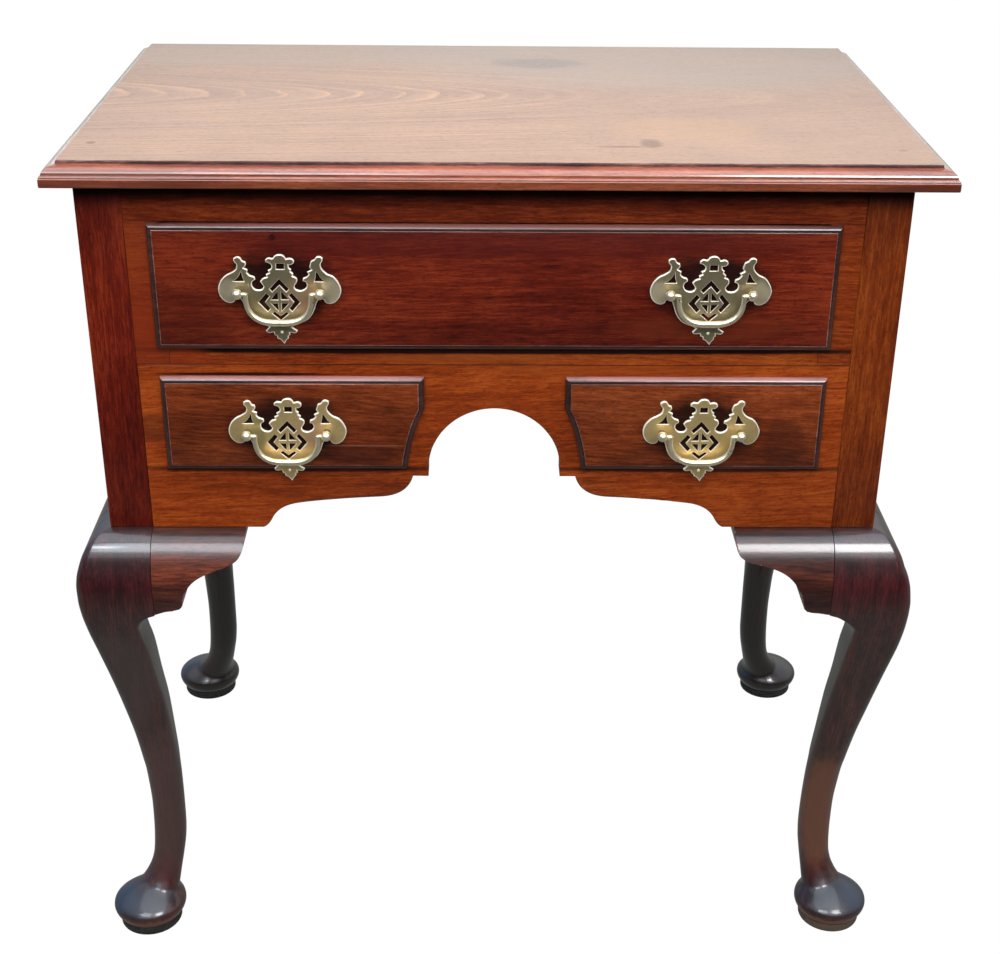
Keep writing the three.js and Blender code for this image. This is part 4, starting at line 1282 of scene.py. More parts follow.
@dataclass
class KneeBracket:
    """A shaped bracket glued beside a knee.

    Attributes:
        name: the CAD node's name.
        side: LEFT or RIGHT.
        edge: its lower edge, from the knee to its tip, as distance from the middle and height.
        across: whether it is turned along the case's side.
        front: whether it is on a front leg.
        sweep: how far its knee leans outwards.
    """

    name: str
    side: int
    edge: tuple[Point, ...]
    across: bool = False
    front: bool = True
    sweep: Column = Column(((KNEE_BOTTOM, 0.0), (0.0, 0.0)))
    joint: float = 283.2
    top: float = 414.7

    def build(self, finishes: Finishes) -> None:
        """Cuts the outline, then carves the face to the knee's curve."""
        shape = bmesh.new()
        line = flowing(self.edge, 4)
        outline = [*line, (self.joint, self.top)]
        faces = add_sheet(shape, [[(x, z) for x, z in outline]], -HALF_DEPTH - 10, FRAME_BACK)
        soften_front(shape, faces, 0.9, 0.0, 1)
        for z in [414.0, 412.6, 411, 409, 407, 404.5, 402, 399, 396, 392, 388, 383.5, 379, 374, 368, 362, 356, 350]:
            bmesh.ops.bisect_plane(
                shape, geom=shape.verts[:] + shape.edges[:] + shape.faces[:], dist=0.0001,
                plane_co=(0, 0, z), plane_no=(0, 0, 1),
            )
        knee = Leg.__dataclass_fields__["outer"].default
        for face in shape.faces:
            if min(vert.co.x for vert in face.verts) > self.joint - 1.0 or min(vert.co.z for vert in face.verts) > 413:
                face.material_index = 0
        rim = {v for f in shape.faces if f.material_index == 1 for v in f.verts}
        inner = {v for f in shape.faces if f.material_index == 0 and f.normal.y < -0.9 for v in f.verts}
        for vert in shape.verts:
            if vert.co.y < -HALF_DEPTH:
                lean = self.sweep.at(vert.co.z) if self.across else 0.0
                fall = 0.5 if vert in rim and vert not in inner else 0.0
                vert.co.y = -HALF_DEPTH - knee.at(vert.co.z) - lean + fall
        for vert in shape.verts:
            x, y, z = vert.co
            if self.across:
                x, y = -y + HALF_WIDTH - HALF_DEPTH, -(x - HALF_WIDTH + HALF_DEPTH)
            ahead = 1 if self.front else -1
            vert.co = (self.side * x, ahead * y, z)
        finish = [finishes.get(BRACKET), finishes.get(EDGE_HIGHLIGHT)]
        put(f"{self.name}_carved", shape, "case", finish, [self.name], 35.0)


@dataclass
class Carcase:
    """The case between the legs.

    Attributes:
        arris: how soft the boards' edges are.
        boards: each plain board's node and finish.
        opening: a short drawer opening's left, bottom, right and top.
    """

    arris: float = 0.05
    boards: tuple[tuple[str, Wood], ...] = (
        ("front_top_rail", RAIL), ("drawer_blade", BLADE), ("left_jamb", JAMB), ("right_jamb", JAMB),
        ("left_side_panel", PANEL), ("right_side_panel", PANEL),
    )
    opening: tuple[float, float, float, float] = (80.0, 479.5, 257.0, 541.0)
    arch_radius: float = 53.8
    arch_centre: float = 469.5
    arch_foot: float = 462.5
    apron_top: float = 561.0
    apron_end: float = 283.2

    def half_outline(self) -> list[Point]:
        """The right half of the apron's lower edge, from the arch's crown to the post."""
        arch = [
            (self.arch_radius * math.sin(k * math.pi / 48), self.arch_centre + self.arch_radius * math.cos(k * math.pi / 48))
            for k in range(24)
        ]
        line = [*arch, (self.arch_radius, self.arch_centre), (self.arch_radius, self.arch_foot), (66.6, self.arch_foot)]
        bends = (((71.2, 444), (95, 443.2)), ((130, 441.6), (160, 437.8)), ((178, 435.6), (184, 423)), ((187.2, 416.6), (191.5, 415)))
        for control, end in bends:
            start = Vector(line[-1])
            for k in range(1, 13):
                t = k / 12
                line.append(tuple(start * (1 - t) ** 2 + Vector(control) * 2 * t * (1 - t) + Vector(end) * t**2))
        return [*line, (self.apron_end, CASE_BOTTOM), (self.apron_end, self.apron_top)]

    def build(self, finishes: Finishes) -> None:
        """Makes the boards and the apron."""
        for node, finish in self.boards:
            shape = bmesh.new()
            low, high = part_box(node)
            add_block(shape, low / MM, high / MM, self.arris)
            put(f"{node}_board", shape, "case", [finishes.get(finish)], [node])
        self._apron(finishes)
        self._back(finishes)

    @staticmethod
    def _back(finishes: Finishes) -> None:
        """Two rough boards with a shrinkage gap between them, nailed at their ends."""
        low, high = (Vector(corner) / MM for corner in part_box("back_panel"))
        seam = (low.z + high.z) / 2 + 14
        shape = bmesh.new()
        for bottom, top in ((low.z, seam - 0.6), (seam + 0.6, high.z)):
            add_block(shape, (low.x, low.y, bottom), (high.x, high.y - 0.4, top), 0.5)
        boards = set(shape.faces)
        head = [(0.0, 0.4), (1.4, 0.25), (2.3, -0.1), (2.3, -1.0), (0.0, -1.0)]
        for x in (low.x + 9, high.x - 9):
            for z in (low.z + 16, seam - 18, seam + 18, high.z - 16):
                lathe(shape, head, (x, high.y - 0.4, z), 10)
        for face in shape.faces:
            face.material_index = 0 if face in boards else 1
        materials = [finishes.get(OAK_WIDE), finishes.get(IRON)]
        put("back_panel_boards", shape, "case", materials, ["back_panel"])

    def _apron(self, finishes: Finishes) -> None:
        """The shaped apron with its arch and its two openings."""
        shape = bmesh.new()
        right = self.half_outline()
        outline = right + [(-x, z) for x, z in reversed(right[1:])]
        x0, z0, x1, z1 = self.opening
        holes = [[(s * x0, z0), (s * x1, z0), (s * x1, z1), (s * x0, z1)] for s in (LEFT, RIGHT)]
        faces = add_sheet(shape, [outline, *holes], -HALF_DEPTH, FRAME_BACK)
        rim = soften_front(shape, faces, 0.9, 0.4, 1)
        for face in rim:
            if min(vert.co.z for vert in face.verts) > 541.5 or max(abs(vert.co.x) for vert in face.verts) > 283.1:
                face.material_index = 0
        put("front_apron_board", shape, "case", [finishes.get(APRON), finishes.get(EDGE_HIGHLIGHT)], ["front_apron"])


@dataclass
class Drawer:
    """A drawer's moulded front; its linings stay as the CAD made them.

    Attributes:
        name: the body's name.
        lip: the lip's outline.
        body: the board behind the lip, as left, bottom, right and top.
        thumb: the moulding's width and depth.
        turns: how steeply the moulding lies at its outer and inner edge, in degrees.
        finish: its wood.
        tail: a dovetail's length and half its width at the root and at the tip.
    """

    name: str
    lip: tuple[Point, ...]
    body: tuple[float, float, float, float]
    finish: Wood
    lip_back: float = -192.9
    board_back: float = -180.2
    fillet: float = 1.6
    thumb: tuple[float, float] = (4.2, 3.8)
    turns: tuple[float, float] = (66.0, 8.0)
    face_inset: float = 4.8
    face_height: float = 6.3
    tail_pitch: float = 20.0
    tail: tuple[float, float, float] = (9.8, 4.2, 6.2)

    def profile(self) -> list[Point]:
        """The lip's moulding, as pairs of how far in and how far forward."""
        wide, deep = self.thumb
        first, last = math.radians(self.turns[0]), math.radians(self.turns[1])
        radius = wide / (math.sin(first) - math.sin(last))
        rise = radius * (math.cos(last) - math.cos(first))
        steps = [(0.0, 0.0), (0.0, self.fillet + deep - rise)]
        for k in range(1, 9):
            turn = first + (last - first) * k / 8
            inward = radius * (math.sin(first) - math.sin(turn))
            steps.append((inward, self.fillet + deep - rise + radius * (math.cos(turn) - math.cos(first))))
        return [*steps, (wide + 0.15, self.face_height - 0.25), (self.face_inset, self.face_height)]

    def build(self, finishes: Finishes) -> None:
        """Raises the lip step by step and puts the board behind it."""
        shape = bmesh.new()
        verts = [shape.verts.new((x, self.lip_back, z)) for x, z in self.lip]
        face = shape.faces.new(verts)
        face.normal_update()
        if face.normal.y > 0:
            face.normal_flip()
        faces = [face]
        raised = bmesh.ops.extrude_face_region(shape, geom=faces)["geom"]
        faces = [item for item in raised if isinstance(item, bmesh.types.BMFace)]
        moved = [item for item in raised if isinstance(item, bmesh.types.BMVert)]
        steps = self.profile()
        bmesh.ops.translate(shape, vec=(0, -steps[1][1], 0), verts=moved)
        for (inset0, out0), (inset1, out1) in zip(steps[1:], steps[2:]):
            if inset1 - inset0 < 1e-6:
                continue
            shape.normal_update()
            bmesh.ops.inset_region(
                shape, faces=faces, thickness=inset1 - inset0, depth=out1 - out0, use_even_offset=True, use_boundary=True
            )
        arris = {edge for each in faces for edge in each.edges}
        for each in shape.faces:
            each.material_index = 0 if each in faces else 2 if arris & set(each.edges) else 1
        x0, z0, x1, z1 = self.body
        before = set(shape.faces)
        add_block(shape, (x0, self.lip_back - 0.3, z0), (x1, self.board_back, z1), 0.3)
        for each in shape.faces:
            if each not in before:
                each.material_index = 0
        self._dovetails(shape)
        materials = [finishes.get(finish) for finish in (self.finish, LIP, LIP_ARRIS, OAK)]
        put(f"{self.name}_front_board", shape, self.name, materials, [f"{self.name}_front"], 30.0)


    def _dovetails(self, shape: Mesh) -> None:
        """Lets the sides' oak tails into the board's two ends."""
        x0, z0, x1, z1 = self.body
        length, root, tip = self.tail
        count = int((z1 - z0 - 8) / self.tail_pitch)
        before = set(shape.faces)
        for x, out in ((x0, LEFT), (x1, RIGHT)):
            for k in range(count):
                middle = (z0 + z1) / 2 + (k - (count - 1) / 2) * self.tail_pitch
                wide = [(0, -root), (0, root), (-length, tip), (-length, -tip)]
                corners = [shape.verts.new((x, self.board_back + y, middle + z)) for y, z in wide]
                made = bmesh.ops.extrude_face_region(shape, geom=[shape.faces.new(corners)])["geom"]
                verts = [item for item in made if isinstance(item, bmesh.types.BMVert)]
                bmesh.ops.translate(shape, vec=(out * 0.15, 0, 0), verts=verts)
        for face in shape.faces:
            if face not in before:
                face.material_index = 3


@dataclass
class Handle:
    """A pierced plate with two posts and a swinging bail.

    Attributes:
        name: which handle it is, such as upper_left.
        drawer: the body of its drawer.
        x, z: the middle between its posts.
        lift: how far the plate's middle is above that.
        plate: the plate's finish.
    """

    name: str
    drawer: str
    x: float
    z: float
    plate: Brass
    lift: float = 2.0
    half_boring: float = 31.75
    plate_front: float = -201.3
    plate_back: float = -199.5
    ball_y: float = -209.8
    ball: float = 4.2
    nut_face: float = -179.9
    nut_length: float = 5.0
    nut_radius: float = 5.6
    shank: float = 2.6
    plate_right: tuple[Point, ...] = (
        (1.5, 27), (4.4, 26.1), (6.3, 23.5), (9.6, 24), (11.8, 22.8), (12.3, 20.8), (10.6, 19), (8, 18.6),
        (8.2, 16.4), (9.9, 15), (9.3, 13.4), (11.3, 11.6), (10.6, 9.8), (13.6, 8), (14, 5.4), (11.7, 1),
        (12.8, -1), (16.2, -2), (19.6, -0.8), (21.2, 1.8), (20.4, 4.9), (18.3, 5.8), (18.6, 8), (21.4, 9.2),
        (23.2, 11.2), (21.9, 13), (25.4, 14.8), (24, 16.8), (24.4, 19.4), (25.4, 21.8), (28, 23.2), (29.4, 25),
        (32, 25.6), (34.2, 24.2), (34, 22), (32.5, 19.4), (33.2, 15.8), (37, 11.8), (41.6, 9.6), (45.4, 5),
        (47.5, -0.8), (46.4, -6.4), (43, -11.1), (38.4, -12.8), (35.2, -11.7), (33.6, -9.3), (30.2, -9.4),
        (28.4, -11.8), (26.6, -17), (23.6, -22.8), (18.4, -27.4), (10.4, -30.2), (8.4, -32.2), (12.6, -35.1),
        (11.2, -36.8), (6.3, -36.6), (6.6, -38.6), (5.2, -39.6), (5.2, -41.2), (3.8, -42.6),
    )
    plate_left: tuple[Point, ...] = (
        (-2.2, 25.9), (-4, 23.9), (-7.2, 24.3), (-9.6, 22.7), (-9.4, 20.9), (-6.8, 20.1), (-5.2, 18.2),
        (-5.4, 15.9), (-8, 14.3), (-7, 12.3), (-9.7, 10.9), (-9, 8.9), (-12.4, 7.6), (-14.4, 5.2), (-11.9, 1.3),
        (-13, -0.8), (-16, -1.7), (-19.2, -0.6), (-20.8, 2), (-20.4, 5), (-18.2, 6.6), (-18.6, 8.8), (-22, 10.2),
        (-24, 12.2), (-23.4, 14.6), (-26.4, 16.2), (-24.5, 18.6), (-24.9, 21), (-27, 21.8), (-28.6, 24.3),
        (-31, 25.1), (-33.8, 23.6), (-33.6, 21.5), (-31.8, 19), (-32.4, 15.2), (-35.6, 12.7), (-40.6, 10),
        (-44.6, 5.8), (-46.8, 0), (-46, -6.2), (-42.8, -10.6), (-38.4, -12.3), (-35.3, -11.3), (-33.8, -8.6),
        (-31.2, -8.5), (-29.3, -10.3), (-27.6, -15.2), (-25, -21.8), (-20, -27.3), (-12.6, -30.4), (-9.3, -32),
        (-12.2, -35.1), (-11, -36.6), (-6, -36.4), (-5.4, -38.6), (-3.6, -39.4), (-3.4, -41.2), (-1.2, -42.4),
        (1.8, -46),
    )
    pierced: tuple[tuple[Point, ...], ...] = (
        ((-1.6, 15.2), (4.6, 15.2), (4.6, 19.7), (-1.6, 19.7)),
        ((0.2, 7.4), (-7.6, -0.8), (-5.5, -3.1), (0.2, 2.6), (5.2, -3.1), (7.4, -0.8)),
        ((-16.6, -11.6), (-10.4, -4.2), (-7.9, -6.7), (-11.6, -11.6), (-7.5, -16.8), (-9.8, -19.2)),
        ((15.6, -11.4), (9.2, -3.9), (7, -6.3), (11, -11.4), (7, -16.9), (9.2, -19)),
        ((-6.5, -20.8), (-4.4, -19.4), (0, -23), (4.6, -19.6), (6.4, -20.8), (0, -26.4)),
        ((-1.4, -2.4), (-7, -9.6), (-1.4, -9.6)),
        ((1.1, -2.6), (6.8, -9.4), (1.1, -9.4)),
        ((-1.4, -12.6), (-6.8, -12.6), (-1.4, -18.8)),
        ((1.1, -12.5), (6.8, -12.5), (1.1, -18.8)),
    )
    wing_holes: tuple[tuple[Point, ...], ...] = (
        ((-28.3, 14.2), (-27.9, 9), (-26.6, 5.2), (-35.8, 5.2), (-32.4, 7.4), (-30, 10.4)),
        ((28.8, 13.4), (28.2, 9), (27.4, 5.3), (35, 5.3), (32.4, 8), (30.4, 11.4)),
    )
    pin: tuple[float, float, float] = (0.3, -36.2, 1.25)
    bail: tuple[Point, ...] = (
        (25, 1.2), (25.1, -3), (24.6, -9), (22.5, -14.6), (18.4, -19.2), (12.4, -22.2), (6, -23.3), (0, -23.3),
    )
    bail_radius: float = 1.9
    bail_swell: float = 0.8
    pin_radius: float = 1.5
    pin_end: float = 30.35

    def build(self, finishes: Finishes) -> None:
        """Makes the plate, the posts and the bail."""
        self._plate(finishes)
        for word, side in (("left", LEFT), ("right", RIGHT)):
            self._post(finishes, word, side)
        self._bail(finishes)

    def _plate(self, finishes: Finishes) -> None:
        """Saws the plate to its outline, pierces it and files its edges."""
        shape = bmesh.new()
        outline = flowing([*self.plate_right, *reversed(self.plate_left)], 4, corner=58.0, closed=True)
        holes = [*self.pierced, *(flowing(hole, 3, closed=True) for hole in self.wing_holes)]
        loops = [[(self.x + x, self.z + self.lift + z) for x, z in loop] for loop in [outline, *holes]]
        add_filed_sheet(shape, loops, (self.plate_front, self.plate_front + 0.4, self.plate_back), 0.7)
        x, z, radius = self.pin
        place = Matrix.Translation((self.x + x, self.plate_front + 0.1, self.z + self.lift + z))
        dome = bmesh.ops.create_uvsphere(
            shape, u_segments=14, v_segments=8, radius=radius, matrix=place @ Matrix.Diagonal((1.0, 0.45, 1.0, 1.0))
        )["verts"]
        for face in {f for v in dome for f in v.link_faces}:
            face.material_index = 1
        materials = [finishes.get(finish) for finish in (self.plate, PLATE_RIM, SHADED_BRASS)]
        put(f"{self.name}_plate_pierced", shape, self.drawer, materials, [f"{self.name}_plate"], 25.0)

    def _post(self, finishes: Finishes, word: str, side: int) -> None:
        """Turns a post with its ball, its collar and the shank that the nut holds."""
        shape = bmesh.new()
        ball = [(self.ball * math.sin(k * math.pi / 12), -self.ball * math.cos(k * math.pi / 12)) for k in range(10)]
        back = self.nut_face - self.ball_y
        collar = [(1.7, 3.9), (1.3, 4.6), (1.3, 7.9), (2.2, 8.0), (2.2, 8.2), (self.shank, 8.2)]
        shank = [(self.shank, back), (self.shank, back + self.nut_length + 1.0), (0.0, back + self.nut_length + 1.6)]
        centre = (self.x + side * self.half_boring, self.ball_y, self.z)
        lathe(shape, [*ball, *collar, *shank], centre, 28)
        nut = bmesh.ops.create_cone(
            shape, cap_ends=True, segments=6, radius1=self.nut_radius, radius2=self.nut_radius, depth=self.nut_length,
            matrix=Matrix.Translation((centre[0], self.nut_face + self.nut_length / 2, centre[2]))
            @ Matrix.Rotation(math.pi / 2, 4, "X"),
        )["verts"]
        edges = list({e for v in nut for e in v.link_edges})
        bmesh.ops.bevel(shape, geom=edges, offset=0.35, affect="EDGES", segments=1, profile=0.5, material=-1)
        for face in shape.faces:
            face.material_index = int(face.calc_center_median().y > self.ball_y + self.ball)
        materials = [finishes.get(finish) for finish in (CAST, SHADED_BRASS)]
        node = f"{self.name}_{word}_post"
        put(f"{node}_turned", shape, self.drawer, materials, [node], 40.0)

    def _bail(self, finishes: Finishes) -> None:
        """Sweeps the bail through its swan necks, pins included."""
        shape = bmesh.new()
        half = flowing(self.bail, 5, corner=80.0)
        path = [(-x, z) for x, z in half] + [(x, z) for x, z in reversed(half[:-1])]
        count = len(path)
        swell = [self.bail_radius + self.bail_swell * math.sin(math.pi * i / (count - 1)) ** 2 for i in range(count)]
        stations = [(Vector((-self.pin_end, 0)), Vector((1, 0)), self.pin_radius)]
        stations.append((Vector((-26.6, 0)), Vector((1, 0)), self.pin_radius))
        stations.append((Vector((-25.9, -0.1)), Vector((0.8, -0.6)), self.bail_radius))
        for i in range(1, count - 1):
            way = Vector(path[i + 1]) - Vector(path[i - 1])
            stations.append((Vector(path[i]), way, swell[i]))
        stations += [(Vector((-p.x, p.y)), Vector((w.x, -w.y)), r) for p, w, r in reversed(stations[:3])]
        ring = bmesh.ops.create_circle(shape, segments=16, radius=1.0, cap_ends=False)["verts"]
        ring = sorted(ring, key=lambda v: math.atan2(v.co.y, v.co.x) % (2 * math.pi))
        turns = [math.atan2(v.co.y, v.co.x) for v in ring]
        edges = shape.edges[:]
        rings = []
        for i, (point, way, radius) in enumerate(stations):
            if i:
                made = bmesh.ops.extrude_edge_only(shape, edges=edges)["geom"]
                fresh = {item for item in made if isinstance(item, bmesh.types.BMVert)}
                edges = [e for e in made if isinstance(e, bmesh.types.BMEdge) and set(e.verts) <= fresh]
                ring = [next(e.other_vert(v) for e in v.link_edges if e.other_vert(v) in fresh) for v in ring]
            normal = Vector((-way.y, way.x)).normalized()
            for vert, turn in zip(ring, turns):
                off = normal * radius * math.cos(turn)
                vert.co = (
                    self.x + point.x + off.x, self.ball_y + radius * math.sin(turn), self.z + point.y + off.y
                )
            rings.append(ring)
        for end in (rings[0], rings[-1]):
            bmesh.ops.contextual_create(shape, geom=end)
        put(f"{self.name}_bail_swept", shape, f"{self.name}_bail", [finishes.get(CAST)], [f"{self.name}_bail"], 50.0)


@dataclass
class Linings:
    """The pieces that keep their CAD shape and get a better finish."""

    across: tuple[str, ...] = ("long_drawer_back", "left_drawer_back", "right_drawer_back")

    def dress(self, frame: dict[str, Any], finishes: Finishes) -> None:
        """Gives every CAD node that still shows its oak."""
        for name, node in frame["nodes"].items():
            if node.hide_render:
                continue
            node.data.materials.clear()
            node.data.materials.append(finishes.get(OAK_WIDE if name in self.across else OAK))
            LOG.info("%s keeps its CAD shape", name)


@dataclass
class Studio:
    """The camera, the floor and the soft lights.

    Attributes:
        place: where the camera stands, in metres.
        yaw, pitch, roll: which way it looks, in degrees.
        lens: its lens in millimetres on a 36 mm sensor.
        shift: how far the picture is shifted.
    """

    place: tuple[float, float, float] = (-0.01471, -1.40879, 1.06647)
    yaw: float = 1.36
    pitch: float = -27.24
    roll: float = 0.68
    lens: float = 59.448
    shift: tuple[float, float] = (-0.0111, 0.02325)

    def build(self) -> None:
        """Sets the camera, the world, the floor and the lights."""
        self._camera()
        self._world()
        self._floor()
        blue = (0.86, 0.93, 1.0)
        self._light("overhead", (0.0, -0.35, 2.2), (0.0, -0.15, 0.5), (2.4, 1.3), 20.0, blue)
        self._light("overhead_fill", (0.0, -0.35, 2.4), (0.0, -0.15, 0.5), (2.4, 1.3), 50.0, blue, "diffuse")
        self._light("front_high", (0.0, -2.2, 2.3), (0.0, 0.0, 0.5), (3.4, 1.8), 20.0, blue)
        self._light("front_fill", (0.0, -2.35, 2.45), (0.0, 0.0, 0.5), (3.4, 1.8), 42.0, (0.9, 0.95, 1.0), "diffuse")
        self._light("left_window", (-0.55, -1.65, 2.0), (-0.2, -0.2, 0.35), (0.9, 0.85), 19.0, blue, "glossy")
        self._light("left_pane", (-1.0, -1.6, 2.1), (-0.3, -0.2, 0.4), (0.4, 0.22), 5.0, blue, "glossy")
        self._light("right_window", (0.85, -1.65, 2.05), (0.3, -0.2, 0.4), (0.85, 0.8), 42.0, (1.0, 1.0, 1.0), "glossy")
        bpy.context.scene.view_settings.view_transform = "Standard"

    def _camera(self) -> None:
        """The camera, as fitted to the photograph's perspective."""
        yaw, pitch, roll = (math.radians(v) for v in (self.yaw, self.pitch, self.roll))
        ahead = Vector((math.sin(yaw) * math.cos(pitch), math.cos(yaw) * math.cos(pitch), math.sin(pitch)))
        right = Vector((math.cos(yaw), -math.sin(yaw), 0))
        above = right.cross(ahead)
        right, above = (
            right * math.cos(roll) + above * math.sin(roll),
            above * math.cos(roll) - right * math.sin(roll),
        )
        data = bpy.data.cameras.new("camera")
        data.lens, data.sensor_width = self.lens, 36.0
        data.shift_x, data.shift_y = self.shift
        camera = bpy.data.objects.new("camera", data)
        turn = Matrix((right, above, -ahead)).transposed().to_4x4()
        camera.matrix_world = Matrix.Translation(self.place) @ turn
        bpy.context.scene.collection.objects.link(camera)
        bpy.context.scene.camera = camera

    @staticmethod
    def _world() -> None:
        """White behind the object, a bluish sky above and dark below."""
        world = bpy.data.worlds.new("studio")
        bpy.context.scene.world = world
        world.use_nodes = True
        tree = Tree(world.node_tree)
        back = world.node_tree.nodes["Background"]
        across, ahead, height = tree.split(tree.add("ShaderNodeTexCoord").outputs["Generated"])
        share = tree.math("ADD", tree.math("MULTIPLY", height, 0.5), 0.5)
        sky = tree.ramp(
            share,
            ((0.0, (0.2, 0.22, 0.2, 1)), (0.5, (0.3, 0.32, 0.3, 1)), (0.6, (0.5, 0.52, 0.52, 1)),
             (0.7, (0.78, 0.8, 0.84, 1)), (0.85, (0.8, 0.88, 1.0, 1)), (1.0, (0.6, 0.7, 0.9, 1))),
        )
        before = tree.ramp(
            share,
            ((0.0, (0.01, 0.01, 0.01, 1)), (0.58, (0.02, 0.02, 0.02, 1)), (0.75, (0.3, 0.32, 0.35, 1)),
             (1.0, (0.6, 0.7, 0.9, 1))),
        )
        blue = tree.math("MULTIPLY", tree.span(across, -0.2, -0.7), tree.span(height, 0.65, 0.35))
        sky = tree.mix(blue, sky, (0.2, 0.34, 0.52, 1))
        sky = tree.mix(tree.span(ahead, -0.6, 0.1), before, sky)
        seen = tree.add("ShaderNodeLightPath").outputs["Is Camera Ray"]
        tree.feed(back.inputs["Color"], tree.mix(seen, sky, (1, 1, 1, 1)))
        back.inputs["Strength"].default_value = 1.0

    @staticmethod
    def _floor() -> None:
        """A pale board under the object, white to the camera."""
        shape = bmesh.new()
        bmesh.ops.create_grid(shape, x_segments=1, y_segments=1, size=8.0)
        mesh = bpy.data.meshes.new("floor")
        shape.to_mesh(mesh)
        shape.free()
        floor = bpy.data.objects.new("floor", mesh)
        bpy.context.scene.collection.objects.link(floor)
        material = bpy.data.materials.new("Pale floor")
        material.use_nodes = True
        tree = Tree(material.node_tree)
        nodes = material.node_tree.nodes
        shader, output = nodes["Principled BSDF"], nodes["Material Output"]
        shader.inputs["Base Color"].default_value = (0.25, 0.25, 0.25, 1)
        shader.inputs["Roughness"].default_value = 0.9
        shader.inputs["Specular IOR Level"].default_value = 0.0
        glow = tree.add("ShaderNodeEmission")
        glow.inputs["Color"].default_value = (1, 1, 1, 1)
        glow.inputs["Strength"].default_value = 1.05
        dark = tree.add("ShaderNodeEmission")
        path = tree.add("ShaderNodeLightPath")
        ahead = tree.split(tree.add("ShaderNodeTexCoord").outputs["Object"])[1]
        near = tree.span(ahead, -1.0, -0.5, 0.012, 0.22)
        tree.feed(dark.inputs["Color"], tree.mix(near, (0, 0, 0, 1), (0.95, 1.0, 0.96, 1)))
        first = tree.add("ShaderNodeMixShader")
        tree.feed(first.inputs[0], path.outputs["Is Camera Ray"])
        tree.tree.links.new(shader.outputs[0], first.inputs[1])
        lit = tree.add("ShaderNodeMixShader")
        tree.feed(lit.inputs[0], 0.95)
        tree.tree.links.new(shader.outputs[0], lit.inputs[1])
        tree.tree.links.new(glow.outputs[0], lit.inputs[2])
        tree.tree.links.new(lit.outputs[0], first.inputs[2])
        last = tree.add("ShaderNodeMixShader")
        tree.feed(last.inputs[0], path.outputs["Is Glossy Ray"])
        tree.tree.links.new(first.outputs[0], last.inputs[1])
        tree.tree.links.new(dark.outputs[0], last.inputs[2])
        tree.tree.links.new(last.outputs[0], output.inputs["Surface"])
        mesh.materials.append(material)

    @staticmethod
    def _light(
        name: str, place: Sequence[float], target: Sequence[float], size: Point, power: float,
        colour: Sequence[float], only: str = "",
    ) -> None:
        """A soft rectangular light that looks at a point.

        Args:
            name: its name.
            place, target: where it hangs and the point that it faces.
            size: its width and height.
            power: its power in watts.
            colour: its colour.
            only: "diffuse" or "glossy" for a light that reaches surfaces in that way alone.
        """
        data = bpy.data.lights.new(name, "AREA")
        data.shape = "RECTANGLE"
        data.size, data.size_y = size
        data.energy = power
        data.color = colour
        light = bpy.data.objects.new(name, data)
        light.location = place
        light.visible_diffuse = only != "glossy"
        light.visible_glossy = only != "diffuse"
        light.rotation_euler = (Vector(target) - Vector(place)).to_track_quat("-Z", "Y").to_euler()
        bpy.context.scene.collection.objects.link(light)


STRAIGHT = Column(((KNEE_BOTTOM, 0.0), (0.0, 0.0)))
RIGHT_SWEEP = Column((
    (388, 0), (368, 3.1), (355, 5), (339, 6.8), (325, 8.4), (300, 10.2), (268, 10.2), (235, 9.6), (200, 8.2),
    (168, 6.6), (145, 5.4), (119, 4.2), (80, 3), (60, 2.2), (34, 1), (18, 0.4), (0, 0),
))
REAR_SWEEP = Column(((345, 0), (300, -1.6), (260, -2.2), (100, -2.2), (60, -1.5), (24, 0)))
SHORT_EDGE = (
    (283.2, 346.2), (277, 348.4), (268.5, 350), (263, 351.6), (260, 354.4), (258.8, 359), (257.6, 364),
    (254.6, 371), (250.4, 376.4), (245, 380.6), (238.6, 384), (228, 388), (218, 391.6), (212, 396),
    (208.2, 402.4), (206.6, 408.4), (206, 414.7),
)
LONG_EDGE = (
    (283.2, 345.8), (274, 347.2), (265.4, 348.6), (261.6, 351.4), (259.8, 356.4), (258, 363), (254.4, 372),
    (250.6, 377.4), (246, 382), (240, 385.8), (233, 388.6), (223, 391.3), (210, 394.9), (204.6, 398.8),
    (202, 404.6), (201, 414.7),
)


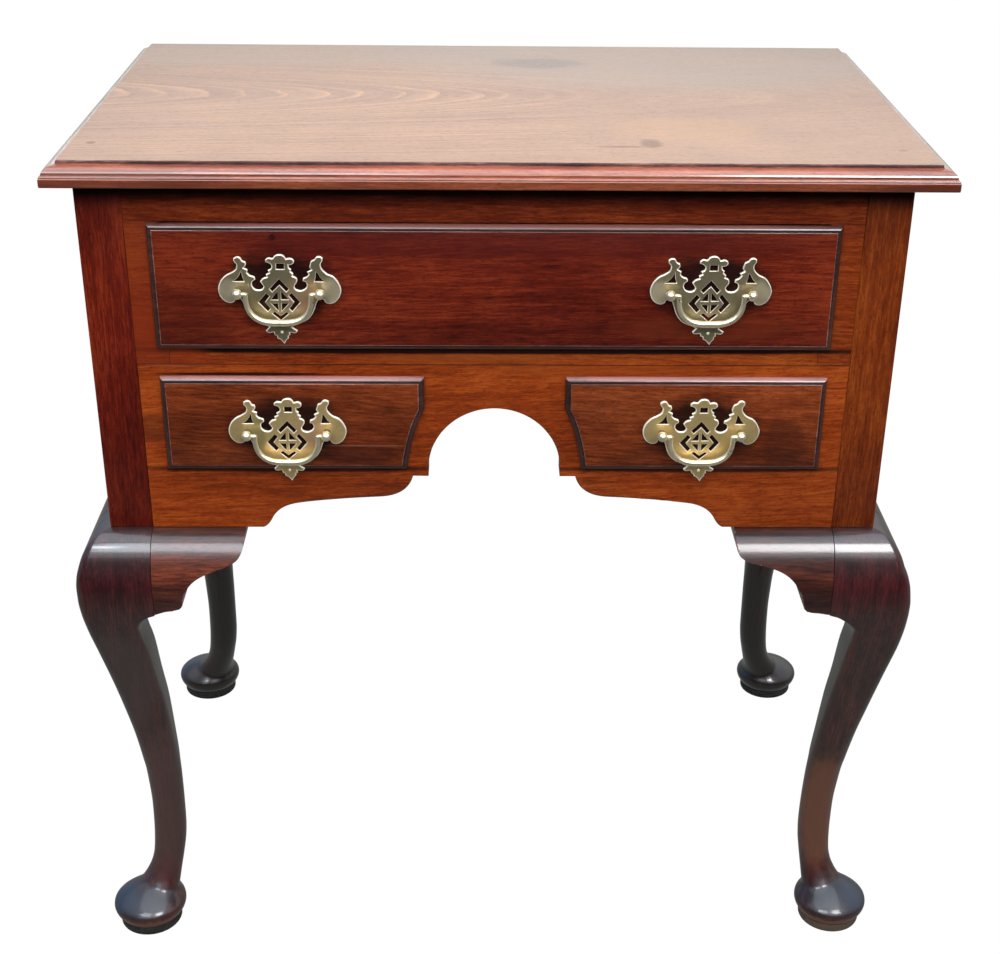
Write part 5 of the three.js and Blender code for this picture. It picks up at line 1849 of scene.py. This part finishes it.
def short_lip(side: int) -> tuple[Point, ...]:
    """A short drawer's lip, hollowed beside the arch.

    Args:
        side: LEFT or RIGHT.

    Returns:
        Its outline.
    """
    start, control, end = Vector((56.5, 523.6)), Vector((66.6, 506)), Vector((71, 470.5))
    hollow = [start * (1 - t) ** 2 + control * 2 * t * (1 - t) + end * t * t for t in (k / 16 for k in range(17))]
    points = [(266.0, 470.5), (266.0, 551.5), (56.5, 551.5), *(tuple(p) for p in hollow)]
    return tuple((side * x, z) for x, z in points)


def main() -> None:
    """Builds the lowboy's pieces in order, then the studio."""
    logging.basicConfig(level=logging.INFO, format="%(message)s")
    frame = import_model()
    finishes = Finishes()
    Top().build(finishes)
    legs = (
        Leg("front_left_leg", LEFT, True, STRAIGHT), Leg("front_right_leg", RIGHT, True, RIGHT_SWEEP),
        Leg("rear_left_leg", LEFT, False, REAR_SWEEP), Leg("rear_right_leg", RIGHT, False, REAR_SWEEP),
    )
    for leg in legs:
        leg.build(finishes)
    brackets = (
        KneeBracket("front_left_bracket", LEFT, SHORT_EDGE),
        KneeBracket("front_right_bracket", RIGHT, LONG_EDGE),
        KneeBracket("front_left_side_bracket", LEFT, SHORT_EDGE, across=True),
        KneeBracket("front_right_side_bracket", RIGHT, SHORT_EDGE, across=True, sweep=RIGHT_SWEEP),
        KneeBracket("rear_left_side_bracket", LEFT, SHORT_EDGE, across=True, front=False),
        KneeBracket("rear_right_side_bracket", RIGHT, SHORT_EDGE, across=True, front=False),
    )
    for bracket in brackets:
        bracket.build(finishes)
    Carcase().build(finishes)
    long_lip = ((-266.0, 575.5), (266.0, 575.5), (266.0, 677.4), (-266.0, 677.4))
    Drawer("long_drawer", long_lip, (-255.5, 585.2, 255.5, 676.4), FRONT).build(finishes)
    Drawer("left_drawer", short_lip(LEFT), (-255.5, 480.7, -81.5, 539.8), FRONT_SHORT).build(finishes)
    Drawer("right_drawer", short_lip(RIGHT), (81.5, 480.7, 255.5, 539.8), FRONT_SHORT).build(finishes)
    handles = (
        Handle("upper_left", "long_drawer", -166.5, 626.0, OLIVE_PLATE),
        Handle("upper_right", "long_drawer", 166.5, 626.0, OLIVE_PLATE),
        Handle("lower_left", "left_drawer", -166.5, 506.3, GOLDEN_PLATE),
        Handle("lower_right", "right_drawer", 166.5, 506.3, GOLDEN_PLATE),
    )
    for handle in handles:
        handle.build(finishes)
    Linings().dress(frame, finishes)
    Studio().build()


if __name__ == "__main__":
    main()
